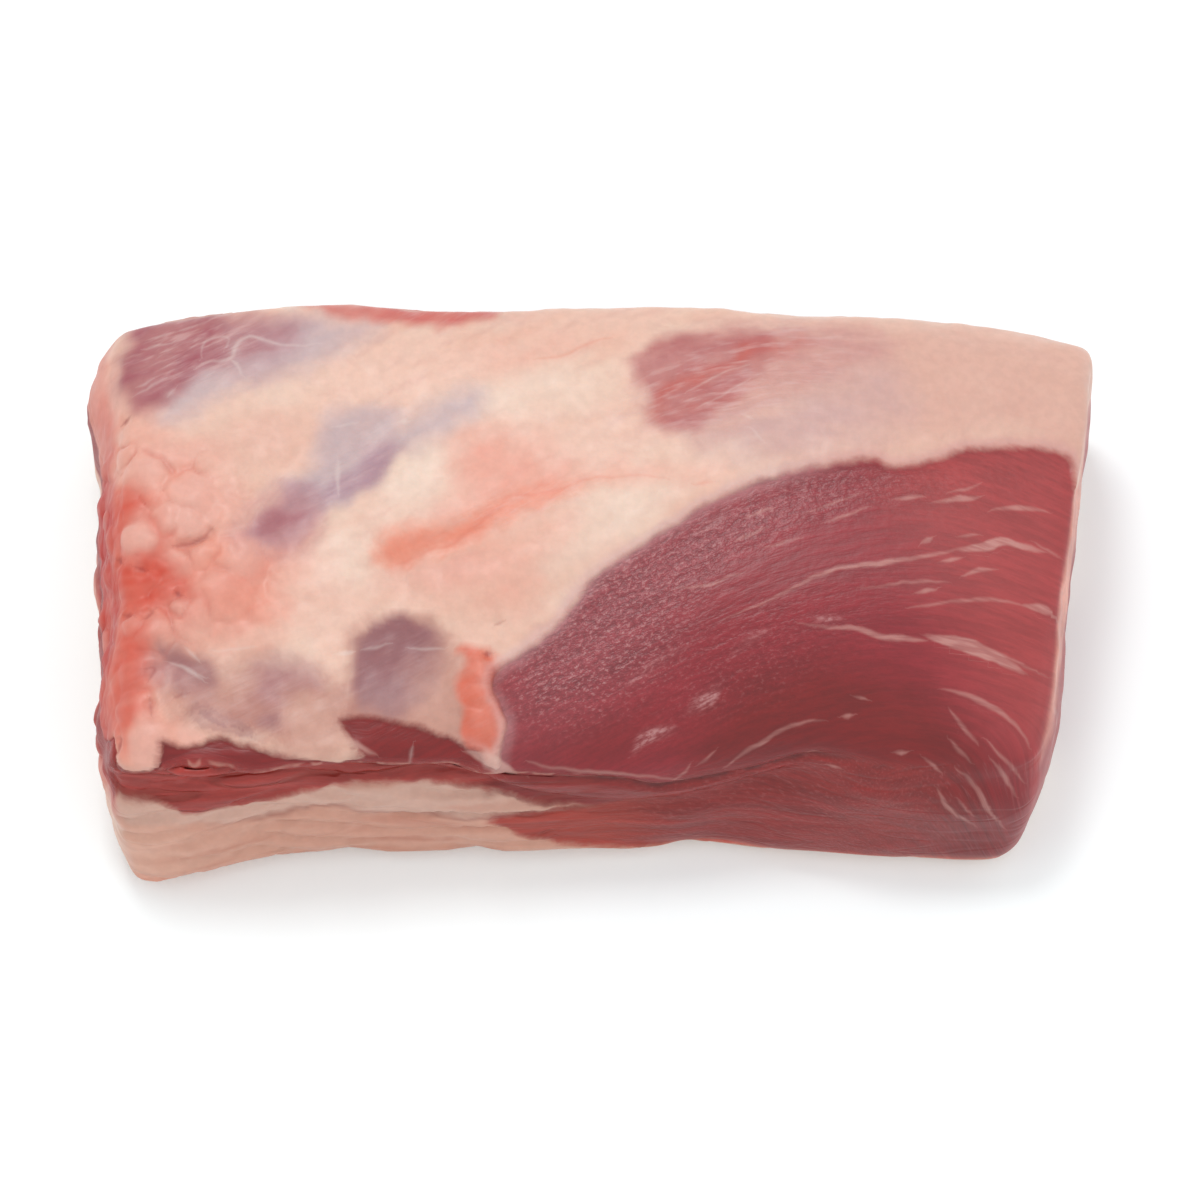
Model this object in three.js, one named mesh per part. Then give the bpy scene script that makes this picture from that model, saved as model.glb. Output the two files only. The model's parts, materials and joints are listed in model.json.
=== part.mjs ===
// A boneless pork loin: one block of raw meat lying on its fat cap, with the rib side up.
// Millimetres, +Z up. X runs along the loin and Y across it. The origin is on the surface that the
// loin lies on, under the middle of its box.
//
// The solid is a box with many small faces, bent to the loin's cross-section. The box's top becomes the
// rib side, its front the trimmed flank with the overhanging lip, its bottom the flat of the fat cap.
import * as THREE from "three";
import { mergeVertices } from "three/addons/utils/BufferGeometryUtils.js";

// Driving dimensions
const LENGTH = 288; // foot to foot of the two cut ends
const WIDTH = 156; // back edge to the furthest point of the front foot
const CROWN = 65; // the eye muscle's highest place above the table
const EDGE_ROUNDING = 3.5; // how far the cut ends' edges are rounded off
const END_SPREAD_HEIGHT = 20; // the cut ends reach furthest out at this height
const TOP_EDGE_HEIGHT = 58; // and meet the rib side at this one
const FOOT_DRAW_IN = 1.25; // below the furthest reach, the ends draw in for this share of the spread's height

// Cross-section, across the loin or down from the lip
const LIP_ROUNDING = 5; // the rib side bends over to the lip in this distance
const LIP_FULLNESS = 0.62; // share of that bend's height that is gained in it
const FRONT_SHELF = -40; // where the rib side starts to fall to the front
const CROWN_FRONT = -18; // the eye muscle's broad top starts here
const CROWN_MIDDLE = 8; // and is highest from here on
const CROWN_FALL = 2; // how much lower the top's front is than its middle
const RECESS_DROP = 6; // the undercut is deepest this far below the lip
const FLAP_DROP = 13; // and the flank comes out again this far below it
const FOOT_HEIGHT = 10; // the front foot reaches furthest out at this height
const FOOT_TUCK = 8; // how far the front foot is drawn in at the table
const BACK_TUCK = 11; // and the back one
const BACK_BULGE = 0.5; // how far the back swells past its edge
const SHOULDER_TUCK = 1.5; // how far the back's top edge is drawn in

// Shares of those sizes through which the section's rounded corners run
const FOOT_ROUND = [
  { tuck: 1, up: 0 },
  { tuck: 0.15, up: 0.3 },
  { tuck: 0, up: 1 },
];
const BACK_ROUND = [
  { tuck: 1, up: 0 },
  { tuck: 0.27, up: 0.08 },
  { tuck: 0, up: 0.3 },
];
const BACK_BULGE_UP = 0.64; // share of the shoulder's height
const BACK_SLOPE = [
  { across: 0.4, rise: 1 },
  { across: 0.75, rise: 0.7 },
];
const FLANK_MIDDLE = { in: 0.6, up: 0.55 };

// Waviness of the hand-cut faces
const LEFT_END_SWELL = 0.9;
const RIGHT_END_SWELL = 0.5;
const SIDE_SWELL = 0.7;
const BROAD_WAVE = { along: 9.5, slant: 17, up: 8, turn: 31 }; // millimetres for one radian
const FINE_WAVE = { along: 5.3, up: 6.1, share: 0.6 };

// Facets along the loin, across it and up it
const FACETS = { length: 60, width: 26, height: 10 };

const halfLength = LENGTH / 2;
const halfWidth = WIDTH / 2;

// A smooth curve through [place, value] pairs, read at any place
function curveThrough(...pairs) {
  const places = pairs.map(([place]) => place);
  const values = pairs.map(([, value]) => value);
  const curve = new THREE.CubicInterpolant(places, values, 1, new Float32Array(1));
  return (place) => curve.evaluate(place)[0];
}

// Edges of the block along the loin: distance across it, or height
const backEdge = curveThrough(
  [-halfLength, halfWidth - 7],
  [-112, 77],
  [-70, halfWidth + 2],
  [-45, halfWidth],
  [37, halfWidth + 1],
  [58, 76],
  [75, 76.5],
  [114, 73],
  [halfLength, 66],
);
const shoulderHeight = curveThrough([-halfLength, 51], [-80, 54], [0, 54.5], [70, 54], [halfLength, 52]);
const crownHeight = curveThrough(
  [-halfLength, CROWN - 7],
  [-95, CROWN - 5],
  [-45, CROWN - 5],
  [0, CROWN - 3],
  [60, CROWN],
  [100, CROWN],
  [halfLength, CROWN - 3],
);
const frontTopHeight = curveThrough(
  [-halfLength, 55],
  [-80, 58],
  [-35, 57],
  [5, 55],
  [45, 55.5],
  [85, 56],
  [halfLength, 52],
);
const lipEdge = curveThrough(
  [-halfLength, -58],
  [-105, -61.5],
  [-73, -59],
  [-41, -57.5],
  [-8, -60.5],
  [14, -61],
  [42, -56.5],
  [60, -53.5],
  [85, -57],
  [118, -58],
);
const lipHeight = curveThrough(
  [-halfLength, 49],
  [-100, 52],
  [-55, 51],
  [-30, 45],
  [-8, 37],
  [15, 34],
  [42, 38],
  [60, 44],
  [85, 45],
  [118, 41],
);
const lipOverhang = curveThrough(
  [-halfLength, 2],
  [-110, 5],
  [-45, 5],
  [-8, 3],
  [20, 2.5],
  [48, 2.5],
  [64, -1.5],
  [85, -3.5],
);
const flapEdge = curveThrough(
  [-halfLength, -66],
  [-110, -63],
  [-80, -59.5],
  [-40, -59.5],
  [-8, -62.5],
  [15, -63],
  [42, -60],
  [62, -59.5],
  [85, -64.3],
  [118, -65],
);
const frontFoot = curveThrough(
  [-136, -69],
  [-125, -halfWidth + 3.5],
  [-108, -72.5],
  [-88, -67.3],
  [-48, -66.2],
  [0, -65.5],
  [30, -64.3],
  [52, -66.5],
  [100, -69.3],
  [118, -69],
);

// How far each cut end reaches, read across the loin: along its top edge and along its foot
const leftTop = curveThrough([-60, -127], [-20, -127], [20, -128.5], [60, -130], [74, -129.5], [82, -126]);
const leftFoot = curveThrough(
  [-halfWidth, -128],
  [-60, -132],
  [-40, -135],
  [-12, -136],
  [10, -138.5],
  [36, -139.2],
  [55, -halfLength + 1],
  [66, -142.5],
  [74, -141],
  [82, -136],
);
const rightTop = curveThrough(
  [-65, 114],
  [-45, 121],
  [-16, 127],
  [0, 130],
  [24, 134],
  [40, 137],
  [60, 139],
  [80, 140.5],
);
const rightFoot = curveThrough(
  [-72, 112],
  [-65, 119],
  [-53, 124.5],
  [-41, 128.5],
  [-16, 132],
  [0, 133.5],
  [14, 135.5],
  [30, 138],
  [50, 141],
  [66, 142.5],
  [80, halfLength - 2],
);

// The line along which the bared eye muscle sinks under the fat, from the front lip to the right end
const LEAN_LINE_STEPS = 80;
const leanLine = new THREE.SplineCurve(
  [
    [-27, -60],
    [-26, -35],
    [-11, -23],
    [1, -8],
    [16, 2],
    [31, 13],
    [52, 22],
    [75, 26],
    [95, 26],
    [113, 30],
    [150, 29],
  ].map(([x, y]) => new THREE.Vector2(x, y)),
).getPoints(LEAN_LINE_STEPS);

// Lumps and hollows of the rib side: middle, half length, half width, turn in degrees, rise
const FAT_LOBULES = [
  { at: [-110, 14], size: [9, 7], turn: 20, rise: 3.2 },
  { at: [-121, 24], size: [7, 9], turn: 0, rise: 2.4 },
  { at: [-122, 3], size: [7, 7], turn: 0, rise: 2.8 },
  { at: [-104, 27], size: [9, 6], turn: -25, rise: 2 },
  { at: [-97, 2], size: [10, 7], turn: 30, rise: 2.2 },
  { at: [-104, -12], size: [9, 6], turn: 15, rise: 2.4 },
  { at: [-120, -24], size: [7, 8], turn: 0, rise: 2.6 },
  { at: [-118, -48], size: [7, 12], turn: 5, rise: 3.4 },
  { at: [-28, -44], size: [7, 15], turn: 4, rise: 3.6 },
  { at: [-34, -8], size: [14, 7], turn: 30, rise: 1.6 },
  { at: [-12, 2], size: [24, 7], turn: 36, rise: 2.2 },
];
const RIB_HOLLOWS = [
  { at: [-61, 33], size: [17, 9], turn: 52, rise: -3 },
  { at: [-81, 9], size: [15, 8], turn: 42, rise: -2.8 },
  { at: [-49, -33], size: [15, 15], turn: 0, rise: -2 },
  { at: [-92, -36], size: [20, 10], turn: -12, rise: -1.8 },
  { at: [-95, 57], size: [26, 10], turn: 4, rise: -2 },
  { at: [-36, 4], size: [20, 5], turn: 22, rise: -2.4 },
  { at: [32, 48], size: [22, 10], turn: 12, rise: -1.8 },
  { at: [-52, -4], size: [8, 6], turn: 0, rise: -1.6 },
];
const LEAN_STEP = 1.8; // how far the eye muscle lies below the fat that ends beside it
const LEAN_STEP_WIDTH = 11; // over this distance
const RELIEF_REACH = 0.25; // share of the section's height, from the top, that takes part in the relief

// A soft mound: 1 at its middle, falling away to nothing
function mound({ at, size, turn }, x, y) {
  const angle = THREE.MathUtils.degToRad(turn);
  const along = (x - at[0]) * Math.cos(angle) + (y - at[1]) * Math.sin(angle);
  const across = (y - at[1]) * Math.cos(angle) - (x - at[0]) * Math.sin(angle);
  return Math.exp(-((along / size[0]) ** 2) - (across / size[1]) ** 2);
}

// Distance from the lean line, positive on the eye muscle's side
function intoLean(x, y) {
  let nearest = Infinity;
  let side = 1;
  for (let i = 1; i < leanLine.length; i++) {
    const from = leanLine[i - 1];
    const run = leanLine[i].clone().sub(from);
    const offset = new THREE.Vector2(x, y).sub(from);
    const share = THREE.MathUtils.clamp(offset.dot(run) / run.lengthSq(), 0, 1);
    const distance = offset.clone().addScaledVector(run, -share).length();
    if (distance < nearest) {
      nearest = distance;
      side = Math.sign(run.y * offset.x - run.x * offset.y) || 1;
    }
  }
  return nearest * side;
}

// Relief of the rib side
function ribSideRelief(x, y) {
  const lumps = [...FAT_LOBULES, ...RIB_HOLLOWS].reduce((sum, lump) => sum + lump.rise * mound(lump, x, y), 0);
  const sunk = THREE.MathUtils.smoothstep(intoLean(x, y), -LEAN_STEP_WIDTH / 2, LEAN_STEP_WIDTH / 2);
  return lumps - LEAN_STEP * sunk;
}

// The uneven swell of hand-cut meat, from a few waves that don't fall into step over the loin
function swell(along, up) {
  const broad = Math.sin(along / BROAD_WAVE.along + up / BROAD_WAVE.slant);
  const turned = Math.cos(up / BROAD_WAVE.up - along / BROAD_WAVE.turn);
  return broad * turned + FINE_WAVE.share * Math.sin(along / FINE_WAVE.along - up / FINE_WAVE.up);
}

const point = (y, z) => new THREE.Vector2(y, z);

// The four sides of the cross-section at one place along the loin, each as a curve
function sectionSides(x) {
  const back = backEdge(x);
  const shoulder = shoulderHeight(x);
  const crown = crownHeight(x);
  const frontTop = frontTopHeight(x);
  const lip = lipEdge(x);
  const lipZ = lipHeight(x);
  const flap = flapEdge(x);
  const foot = frontFoot(x);
  const corners = {
    lip: point(lip, lipZ),
    shoulder: point(back - SHOULDER_TUCK, shoulder),
    frontFoot: point(foot + FOOT_TUCK, 0),
    backFoot: point(back - BACK_TUCK, 0),
  };
  const flapZ = lipZ - FLAP_DROP;
  const { lerp } = THREE.MathUtils;
  return {
    top: new THREE.SplineCurve([
      corners.lip,
      point(lip + LIP_ROUNDING, lerp(lipZ, frontTop, LIP_FULLNESS)),
      point(FRONT_SHELF, frontTop),
      point(CROWN_FRONT, crown - CROWN_FALL),
      point(CROWN_MIDDLE, crown),
      ...BACK_SLOPE.map(({ across, rise }) =>
        point(lerp(CROWN_MIDDLE, back, across), lerp(shoulder, crown, rise)),
      ),
      corners.shoulder,
    ]),
    front: new THREE.SplineCurve([
      ...FOOT_ROUND.map(({ tuck, up }) => point(foot + FOOT_TUCK * tuck, FOOT_HEIGHT * up)),
      point(lerp(foot, flap, FLANK_MIDDLE.in), lerp(FOOT_HEIGHT, flapZ, FLANK_MIDDLE.up)),
      point(flap, flapZ),
      point(lip + lipOverhang(x), lipZ - RECESS_DROP),
      corners.lip,
    ]),
    bottom: new THREE.LineCurve(corners.frontFoot, corners.backFoot),
    back: new THREE.SplineCurve([
      ...BACK_ROUND.map(({ tuck, up }) => point(back - BACK_TUCK * tuck, shoulder * up)),
      point(back + BACK_BULGE, shoulder * BACK_BULGE_UP),
      corners.shoulder,
    ]),
    corners,
  };
}

// A point of the cross-section: u runs from the front side to the back, v from the bottom to the top.
// Inside the section it is worked out from the four sides, as a Coons patch.
function sectionPoint({ top, front, bottom, back, corners }, u, v) {
  const fromBottomTop = bottom.getPoint(u).lerp(top.getPointAt(u), v);
  const fromFrontBack = front.getPoint(v).lerp(back.getPoint(v), u);
  const low = corners.frontFoot.clone().lerp(corners.backFoot, u);
  const high = corners.lip.clone().lerp(corners.shoulder, u);
  return fromBottomTop.add(fromFrontBack).sub(low.lerp(high, v));
}

// Where the two cut ends lie at one place of the section: they spread from the top edge down to
// END_SPREAD_HEIGHT and draw in a little below it
function endsAt(y, z) {
  const drop = (TOP_EDGE_HEIGHT - z) / (TOP_EDGE_HEIGHT - END_SPREAD_HEIGHT);
  const spread = Math.sin(THREE.MathUtils.clamp(drop, 0, FOOT_DRAW_IN) * (Math.PI / 2));
  return [
    THREE.MathUtils.lerp(leftTop(y), leftFoot(y), spread) + LEFT_END_SWELL * swell(y, z),
    THREE.MathUtils.lerp(rightTop(y), rightFoot(y), spread) + RIGHT_END_SWELL * swell(y + WIDTH, z),
  ];
}

// Stations along the loin, as [share of its length, how far the section is drawn in]. The edges of the
// cut ends are rounded over three stations.
const edgeStations = [0, 0.3, 1].map((share) => {
  const inset = EDGE_ROUNDING * (1 - Math.sqrt(1 - (1 - share) ** 2));
  return [(share * EDGE_ROUNDING) / LENGTH, inset];
});
const stations = Array.from({ length: FACETS.length + 1 }, (_, i) => {
  const fromEnd = Math.min(i, FACETS.length - i);
  if (fromEnd < edgeStations.length) {
    const [share, inset] = edgeStations[fromEnd];
    return [i === fromEnd ? share : 1 - share, inset];
  }
  const first = edgeStations.at(-1)[0];
  const step = (i - edgeStations.length + 1) / (FACETS.length - 2 * (edgeStations.length - 1));
  return [THREE.MathUtils.lerp(first, 1 - first, step), 0];
});

// Bends one corner of the box's small faces to the loin. The section depends on the place along the loin,
// and the ends' reach on the place in the section, so the two are settled in a few passes.
const PLACING_PASSES = 3;
function bend(station, u, v) {
  const [share, inset] = stations[station];
  let x = THREE.MathUtils.lerp(-halfLength, halfLength, share);
  let y = 0;
  let z = 0;
  for (let pass = 0; pass < PLACING_PASSES; pass++) {
    const section = sectionPoint(sectionSides(x), u, v);
    y = section.x * (1 - inset / halfWidth);
    z = section.y + inset * (1 - 2 * v);
    const [left, right] = endsAt(y, z);
    x = THREE.MathUtils.lerp(left, right, share);
  }
  const onTop = THREE.MathUtils.smoothstep(v, 1 - RELIEF_REACH, 1);
  z += ribSideRelief(x, y) * onTop * (1 - inset / EDGE_ROUNDING);
  const onSide = Math.sin(Math.PI * v) * (2 * u - 1);
  y += SIDE_SWELL * swell(x, z) * onSide;
  return [x, y, Math.max(z, 0)];
}

function porkLoinGeometry() {
  const box = new THREE.BoxGeometry(1, 1, 1, FACETS.length, FACETS.width, FACETS.height);
  box.deleteAttribute("normal");
  box.deleteAttribute("uv");
  const geometry = mergeVertices(box);
  const position = geometry.getAttribute("position");
  for (let i = 0; i < position.count; i++) {
    const station = Math.round((position.getX(i) + 0.5) * FACETS.length);
    position.setXYZ(i, ...bend(station, position.getY(i) + 0.5, position.getZ(i) + 0.5));
  }
  geometry.computeBoundingBox();
  const middle = geometry.boundingBox.getCenter(new THREE.Vector3());
  geometry.translate(-middle.x, -middle.y, -geometry.boundingBox.min.z);
  geometry.computeVertexNormals();
  return geometry;
}

const rawPork = new THREE.MeshStandardMaterial({ color: 0xc98d82, roughness: 0.45, metalness: 0 });
const porkLoin = new THREE.Mesh(porkLoinGeometry(), rawPork);
porkLoin.name = "pork_loin";

const loin = new THREE.Group();
loin.add(porkLoin);

export default loin;
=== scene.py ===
import json
import math

import bpy
import numpy as np
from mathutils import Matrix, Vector, noise
from mathutils.bvhtree import BVHTree

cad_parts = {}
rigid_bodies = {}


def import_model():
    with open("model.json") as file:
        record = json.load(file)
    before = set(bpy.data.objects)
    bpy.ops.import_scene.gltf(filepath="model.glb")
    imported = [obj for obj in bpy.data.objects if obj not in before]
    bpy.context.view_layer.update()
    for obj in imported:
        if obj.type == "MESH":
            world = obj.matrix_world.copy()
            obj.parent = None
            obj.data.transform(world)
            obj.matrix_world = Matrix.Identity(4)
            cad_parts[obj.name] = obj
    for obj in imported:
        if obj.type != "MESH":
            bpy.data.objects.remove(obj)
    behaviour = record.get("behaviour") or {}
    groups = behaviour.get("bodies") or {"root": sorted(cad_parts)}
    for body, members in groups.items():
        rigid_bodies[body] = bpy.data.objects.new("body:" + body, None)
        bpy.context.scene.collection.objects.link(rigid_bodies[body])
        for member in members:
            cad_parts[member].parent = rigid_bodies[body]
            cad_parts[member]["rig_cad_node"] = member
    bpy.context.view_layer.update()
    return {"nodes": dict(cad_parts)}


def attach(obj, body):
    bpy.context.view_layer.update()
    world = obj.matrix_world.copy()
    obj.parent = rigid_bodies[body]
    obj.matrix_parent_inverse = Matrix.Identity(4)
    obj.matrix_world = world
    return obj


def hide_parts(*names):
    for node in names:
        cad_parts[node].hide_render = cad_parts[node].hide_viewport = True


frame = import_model()
mm = 0.001
noise.seed_set(7)  # every run gives the same meat
loinNode = frame["nodes"]["pork_loin"]
print("loaded the loin's solid")


# camera and light

shotCamera = {
    "target": (2.4, -4.1, 30.0),  # mm, the middle of the picture
    "elevation": 68.0,  # degrees above the table
    "lens": 120.0,
    "sensor": 36.0,
    "seenWidth": 336.0,  # mm across the picture at the target
    "clip": (0.01, 30.0),  # m
}
studioLight = {
    "around": (1.0, 1.0, 1.0),
    "aroundStrength": 0.97,
    "lamps": {  # direction, distance in m, size in m, power in W
        "soft_key": ((-0.14, 0.38, 0.90), 1.5, 0.34, 5.4),
        "soft_fill": ((0.85, -0.30, 0.70), 1.6, 1.2, 2.0),
    },
    "tableSize": 8.0,
    "tableColour": (0.94, 0.99, 1.0, 1.0),  # a little cool, against the red glow of the meat
    "tableRoughness": 0.8,
}


def placeCamera(shot):
    tilt = math.radians(shot["elevation"])
    distance = shot["lens"] / shot["sensor"] * shot["seenWidth"]
    away = Vector((0.0, -math.cos(tilt), math.sin(tilt)))
    eye = (Vector(shot["target"]) + away * distance) * mm
    bpy.ops.object.camera_add(location=eye, rotation=(math.pi / 2 - tilt, 0.0, 0.0))
    camera = bpy.context.object
    camera.name = "shot_camera"
    camera.data.lens = shot["lens"]
    camera.data.sensor_width = shot["sensor"]
    camera.data.clip_start, camera.data.clip_end = shot["clip"]
    bpy.context.scene.camera = camera


def lightTheTable(light):
    world = bpy.data.worlds.new("soft_room")
    world.use_nodes = True
    background = world.node_tree.nodes["Background"]
    background.inputs["Color"].default_value = (*light["around"], 1.0)
    background.inputs["Strength"].default_value = light["aroundStrength"]
    bpy.context.scene.world = world
    bpy.context.scene.view_settings.view_transform = "Standard"

    for name, (direction, distance, size, power) in light["lamps"].items():
        towards = Vector(direction).normalized()
        aim = towards.to_track_quat("Z", "Y").to_euler()
        bpy.ops.object.light_add(type="AREA", location=towards * distance, rotation=aim)
        lamp = bpy.context.object
        lamp.name = name
        lamp.data.size = size
        lamp.data.energy = power

    bpy.ops.mesh.primitive_plane_add(size=light["tableSize"])
    table = bpy.context.object
    table.name = "pale_table"
    finish = bpy.data.materials.new("pale_table_finish")
    finish.use_nodes = True
    shader = finish.node_tree.nodes["Principled BSDF"]
    shader.inputs["Base Color"].default_value = light["tableColour"]
    shader.inputs["Roughness"].default_value = light["tableRoughness"]
    table.data.materials.append(finish)


placeCamera(shotCamera)
lightTheTable(studioLight)
print("camera and light are set")


# waves in the meat, in millimetres

meatSways = {  # size of the waves, how far they push, and where in the noise they start
    "broad": (12.0, 1.2, (3.1, 0.4, 7.7)),
    "middle": (5.5, 1.6, (8.8, 4.1, 2.6)),
    "fine": (3.6, 0.8, (0.6, 9.2, 1.3)),
    "side": (20.0, 5.0, (5.5, 1.2, 0.7)),
}
meatWaves = {  # sizes along each axis, and where in the noise they start
    "cloud": ((16, 16, 16), (1.7, 0.4, 3.9)),
    "flow": ((26, 6, 30), (5.2, 2.2, 0.8)),
    "threads": ((11, 2.4, 11), (1.9, 0.7, 4.6)),
    "fatLayers": ((36, 36, 3.2), (2.9, 7.0, 4.4)),
    "leanStreaks": ((34, 7, 1), (0.4, 6.1, 0.0)),
    "leanLayers": ((40, 2.6, 1), (3.6, 0.2, 0.0)),
    "mottles": ((4.5, 4.5, 4.5), (0.2, 3.4, 5.1)),
    "smallMottles": ((2.2, 2.2, 2.2), (6.0, 1.5, 2.4)),
    "cushions": ((10, 10, 10), (3.3, 1.8, 6.0)),
    "smallCushions": ((4.5, 4.5, 4.5), (7.1, 4.0, 2.5)),
    "creaseGaps": ((9, 9, 9), (4.9, 0.8, 2.1)),
    "fatSwell": ((11, 11, 11), (0.3, 5.0, 2.2)),
    "fatRidge": ((24, 6.5, 30), (5.2, 2.2, 0.8)),
    "fatDimple": ((4.5, 4.5, 4.5), (8.3, 1.0, 4.2)),
    "leanWrinkle": ((17, 4.2, 1), (4.4, 2.0, 0.0)),
    "lipRagged": ((8, 8, 5), (9.1, 2.0, 0.7)),
    "bandFold": ((26, 26, 6), (1.1, 3.0, 0.7)),
    "fatWrinkle": ((30, 30, 7), (6.1, 0.2, 3.3)),
    "endLump": ((7, 7, 7), (2.7, 6.4, 1.9)),
    "endTatter": ((3.6, 3.6, 7), (5.3, 0.9, 8.2)),
}
creaseSharpness = 3.0


def wander(places, name):
    # a smooth random push at each point
    size, reach, shift = meatSways[name]
    return reach * np.array([noise.noise_vector(Vector(p / size) + Vector(shift)) for p in places])


def ripple(places, name):
    # smooth random hills, about 0 to 1
    sizes, shift = meatWaves[name]
    return np.array([0.5 + 0.5 * noise.noise(Vector(p) + Vector(shift)) for p in places / np.array(sizes)])


def creased(places, name):
    # plateaus of 1 with narrow creases of 0 between them
    return np.clip(np.abs(2.0 * ripple(places, name) - 1.0) * creaseSharpness, 0.0, 1.0)


# small tools for reading and painting the meat, in millimetres

farAway = 1e9
tiny = 1e-9


def fade(span, value):
    # 0 at the first end of the span, 1 at the other, soft at both
    low, high = span
    share = np.clip((value - low) / (high - low), 0.0, 1.0)
    return share * share * (3.0 - 2.0 * share)


def bell(value, middle, halfWidth):
    return np.exp(-((value - middle) / halfWidth) ** 2)


def readMeat(meat):
    count = len(meat.data.vertices)
    places = np.empty(count * 3, np.float32)
    facing = np.empty(count * 3, np.float32)
    meat.data.vertices.foreach_get("co", places)
    meat.data.vertex_normals.foreach_get("vector", facing)
    return places.reshape(-1, 3).astype(float) / mm, facing.reshape(-1, 3).astype(float)


def bendThrough(corners, steps):
    # a curve from the second corner to the last but one
    curve = []
    for before, start, stop, after in zip(corners, corners[1:], corners[2:], corners[3:]):
        for step in range(steps):
            t = step / steps
            bend = (stop - before) * t + (2 * before - 5 * start + 4 * stop - after) * t * t
            curve.append(start + 0.5 * (bend + (3 * start - before - 3 * stop + after) * t ** 3))
    return curve


def smoothRoute(points, steps=6):
    # a curve through the given points
    if len(points) < 3:
        return points
    return [*bendThrough([points[0], *points, points[-1]], steps), points[-1]]


def roundOutline(points, steps=3):
    # a closed curve through the given points
    corners = [np.array(p, float) for p in points]
    return bendThrough([corners[-1], *corners, *corners[:2]], steps)


def alongX(points, x):
    # the height of a drawn profile at each x
    knots = np.array(smoothRoute([np.array(p, float) for p in points]))
    return np.interp(x, knots[:, 0], knots[:, 1])


def sideOfLine(points, x, y):
    # signed distance to a drawn line, positive on its left as it runs
    route = np.array(smoothRoute([np.array(p, float) for p in points]))
    nearest = np.full(len(x), farAway)
    signed = np.zeros(len(x))
    for start, stop in zip(route, route[1:]):
        run = stop - start
        length = np.linalg.norm(run)
        run = run / length
        offX = x - start[0]
        offY = y - start[1]
        along = np.clip(offX * run[0] + offY * run[1], 0.0, length)
        gap = np.hypot(offX - along * run[0], offY - along * run[1])
        left = np.sign(run[0] * offY - run[1] * offX)
        better = gap < nearest
        nearest[better] = gap[better]
        signed[better] = (gap * left)[better]
    return signed


def insideOutline(points, x, y):
    # distance to a closed outline, positive inside
    corners = np.array(points, float)
    inside = np.zeros(len(x), bool)
    gap = np.full(len(x), farAway)
    for start, stop in zip(corners, np.roll(corners, -1, axis=0)):
        run = stop - start
        share = np.clip(((x - start[0]) * run[0] + (y - start[1]) * run[1]) / (run @ run), 0.0, 1.0)
        gap = np.minimum(gap, np.hypot(x - start[0] - share * run[0], y - start[1] - share * run[1]))
        crosses = (start[1] > y) != (stop[1] > y)
        rise = run[1] if run[1] else tiny
        inside ^= crosses & (x < start[0] + (y - start[1]) / rise * run[0])
    return np.where(inside, gap, -gap)


def paintShapes(x, y, shapes):
    # each shape: soft edge, strength, and its outline or its (middle, half sizes, turn in degrees)
    bare = np.ones_like(x)
    for soft, strength, *shape in shapes:
        if len(shape) == 1:
            outline = np.array(roundOutline(shape[0]))
            low = outline.min(0) - soft
            high = outline.max(0) + soft
            near = (x > low[0]) & (x < high[0]) & (y > low[1]) & (y < high[1])
            inside = np.full(len(x), -soft)
            inside[near] = insideOutline(outline, x[near], y[near])
        else:
            (midX, midY), (halfLong, halfWide), turn = shape
            swing = math.radians(turn)
            along = (x - midX) * math.cos(swing) + (y - midY) * math.sin(swing)
            across = (y - midY) * math.cos(swing) - (x - midX) * math.sin(swing)
            inside = (1.0 - np.hypot(along / halfLong, across / halfWide)) * min(halfLong, halfWide)
        bare *= 1.0 - strength * fade((-soft, soft), inside)
    return 1.0 - bare


def keepLayer(meat, name, kind, field, values):
    layer = meat.data.attributes.new(name, kind, "POINT")
    layer.data.foreach_set(field, np.asarray(values, np.float32).ravel())


def keepPaint(meat, name, values):
    keepLayer(meat, name, "FLOAT", "value", values)


def keepTint(meat, name, tints):
    keepLayer(meat, name, "FLOAT_COLOR", "color", np.concatenate([tints, np.ones((len(tints), 1))], 1))


def keepGrain(meat, name, vectors):
    keepLayer(meat, name, "FLOAT_VECTOR", "vector", vectors)


def pushMeat(meat, name, weights, height):
    # a weight group and a Displace modifier raise the skin by up to that many millimetres
    steps = 250
    group = meat.vertex_groups.new(name=name)
    levels = np.rint(np.clip(weights, 0.0, 1.0) * steps).astype(int)
    for level in np.unique(levels[levels > 0]):
        group.add(np.flatnonzero(levels == level).tolist(), level / steps, "REPLACE")
    push = meat.modifiers.new(name, "DISPLACE")
    push.vertex_group = group.name
    push.mid_level = 0.0
    push.strength = height * mm
    bpy.ops.object.modifier_apply(modifier=push.name)
    meat.vertex_groups.clear()


# the meat's own mesh, copied from the solid: coarser underneath, finer where it is most wrinkled

loinMesh = {
    "name": "pork_loin_meat",
    "mergeGap": 0.01,  # mm
    "rounding": 2,  # subdivision levels
    "flatBelow": 0.4,  # mm, the part of the underside that is made coarser
    "coarser": 2,  # times
    "fineCuts": 1,
    "fineZones": [  # seen from above in mm, with the lowest and the highest height
        ([(-145, 34), (-112, 32), (-96, 20), (-84, 2), (-86, -18), (-112, -30), (-114, -62),
          (-145, -62)], 30, 70),
        ([(-145, -46), (30, -46), (30, -90), (-145, -90)], 14, 58),
        ([(-32, -34), (-8, -18), (12, 2), (34, 16), (56, 20), (52, -8), (40, -46), (-26, -56)], 30, 70),
    ],
}


def faceCentres(meat):
    centres = np.empty(len(meat.data.polygons) * 3, np.float32)
    meat.data.polygons.foreach_get("center", centres)
    return centres.reshape(-1, 3).T / mm


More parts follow.
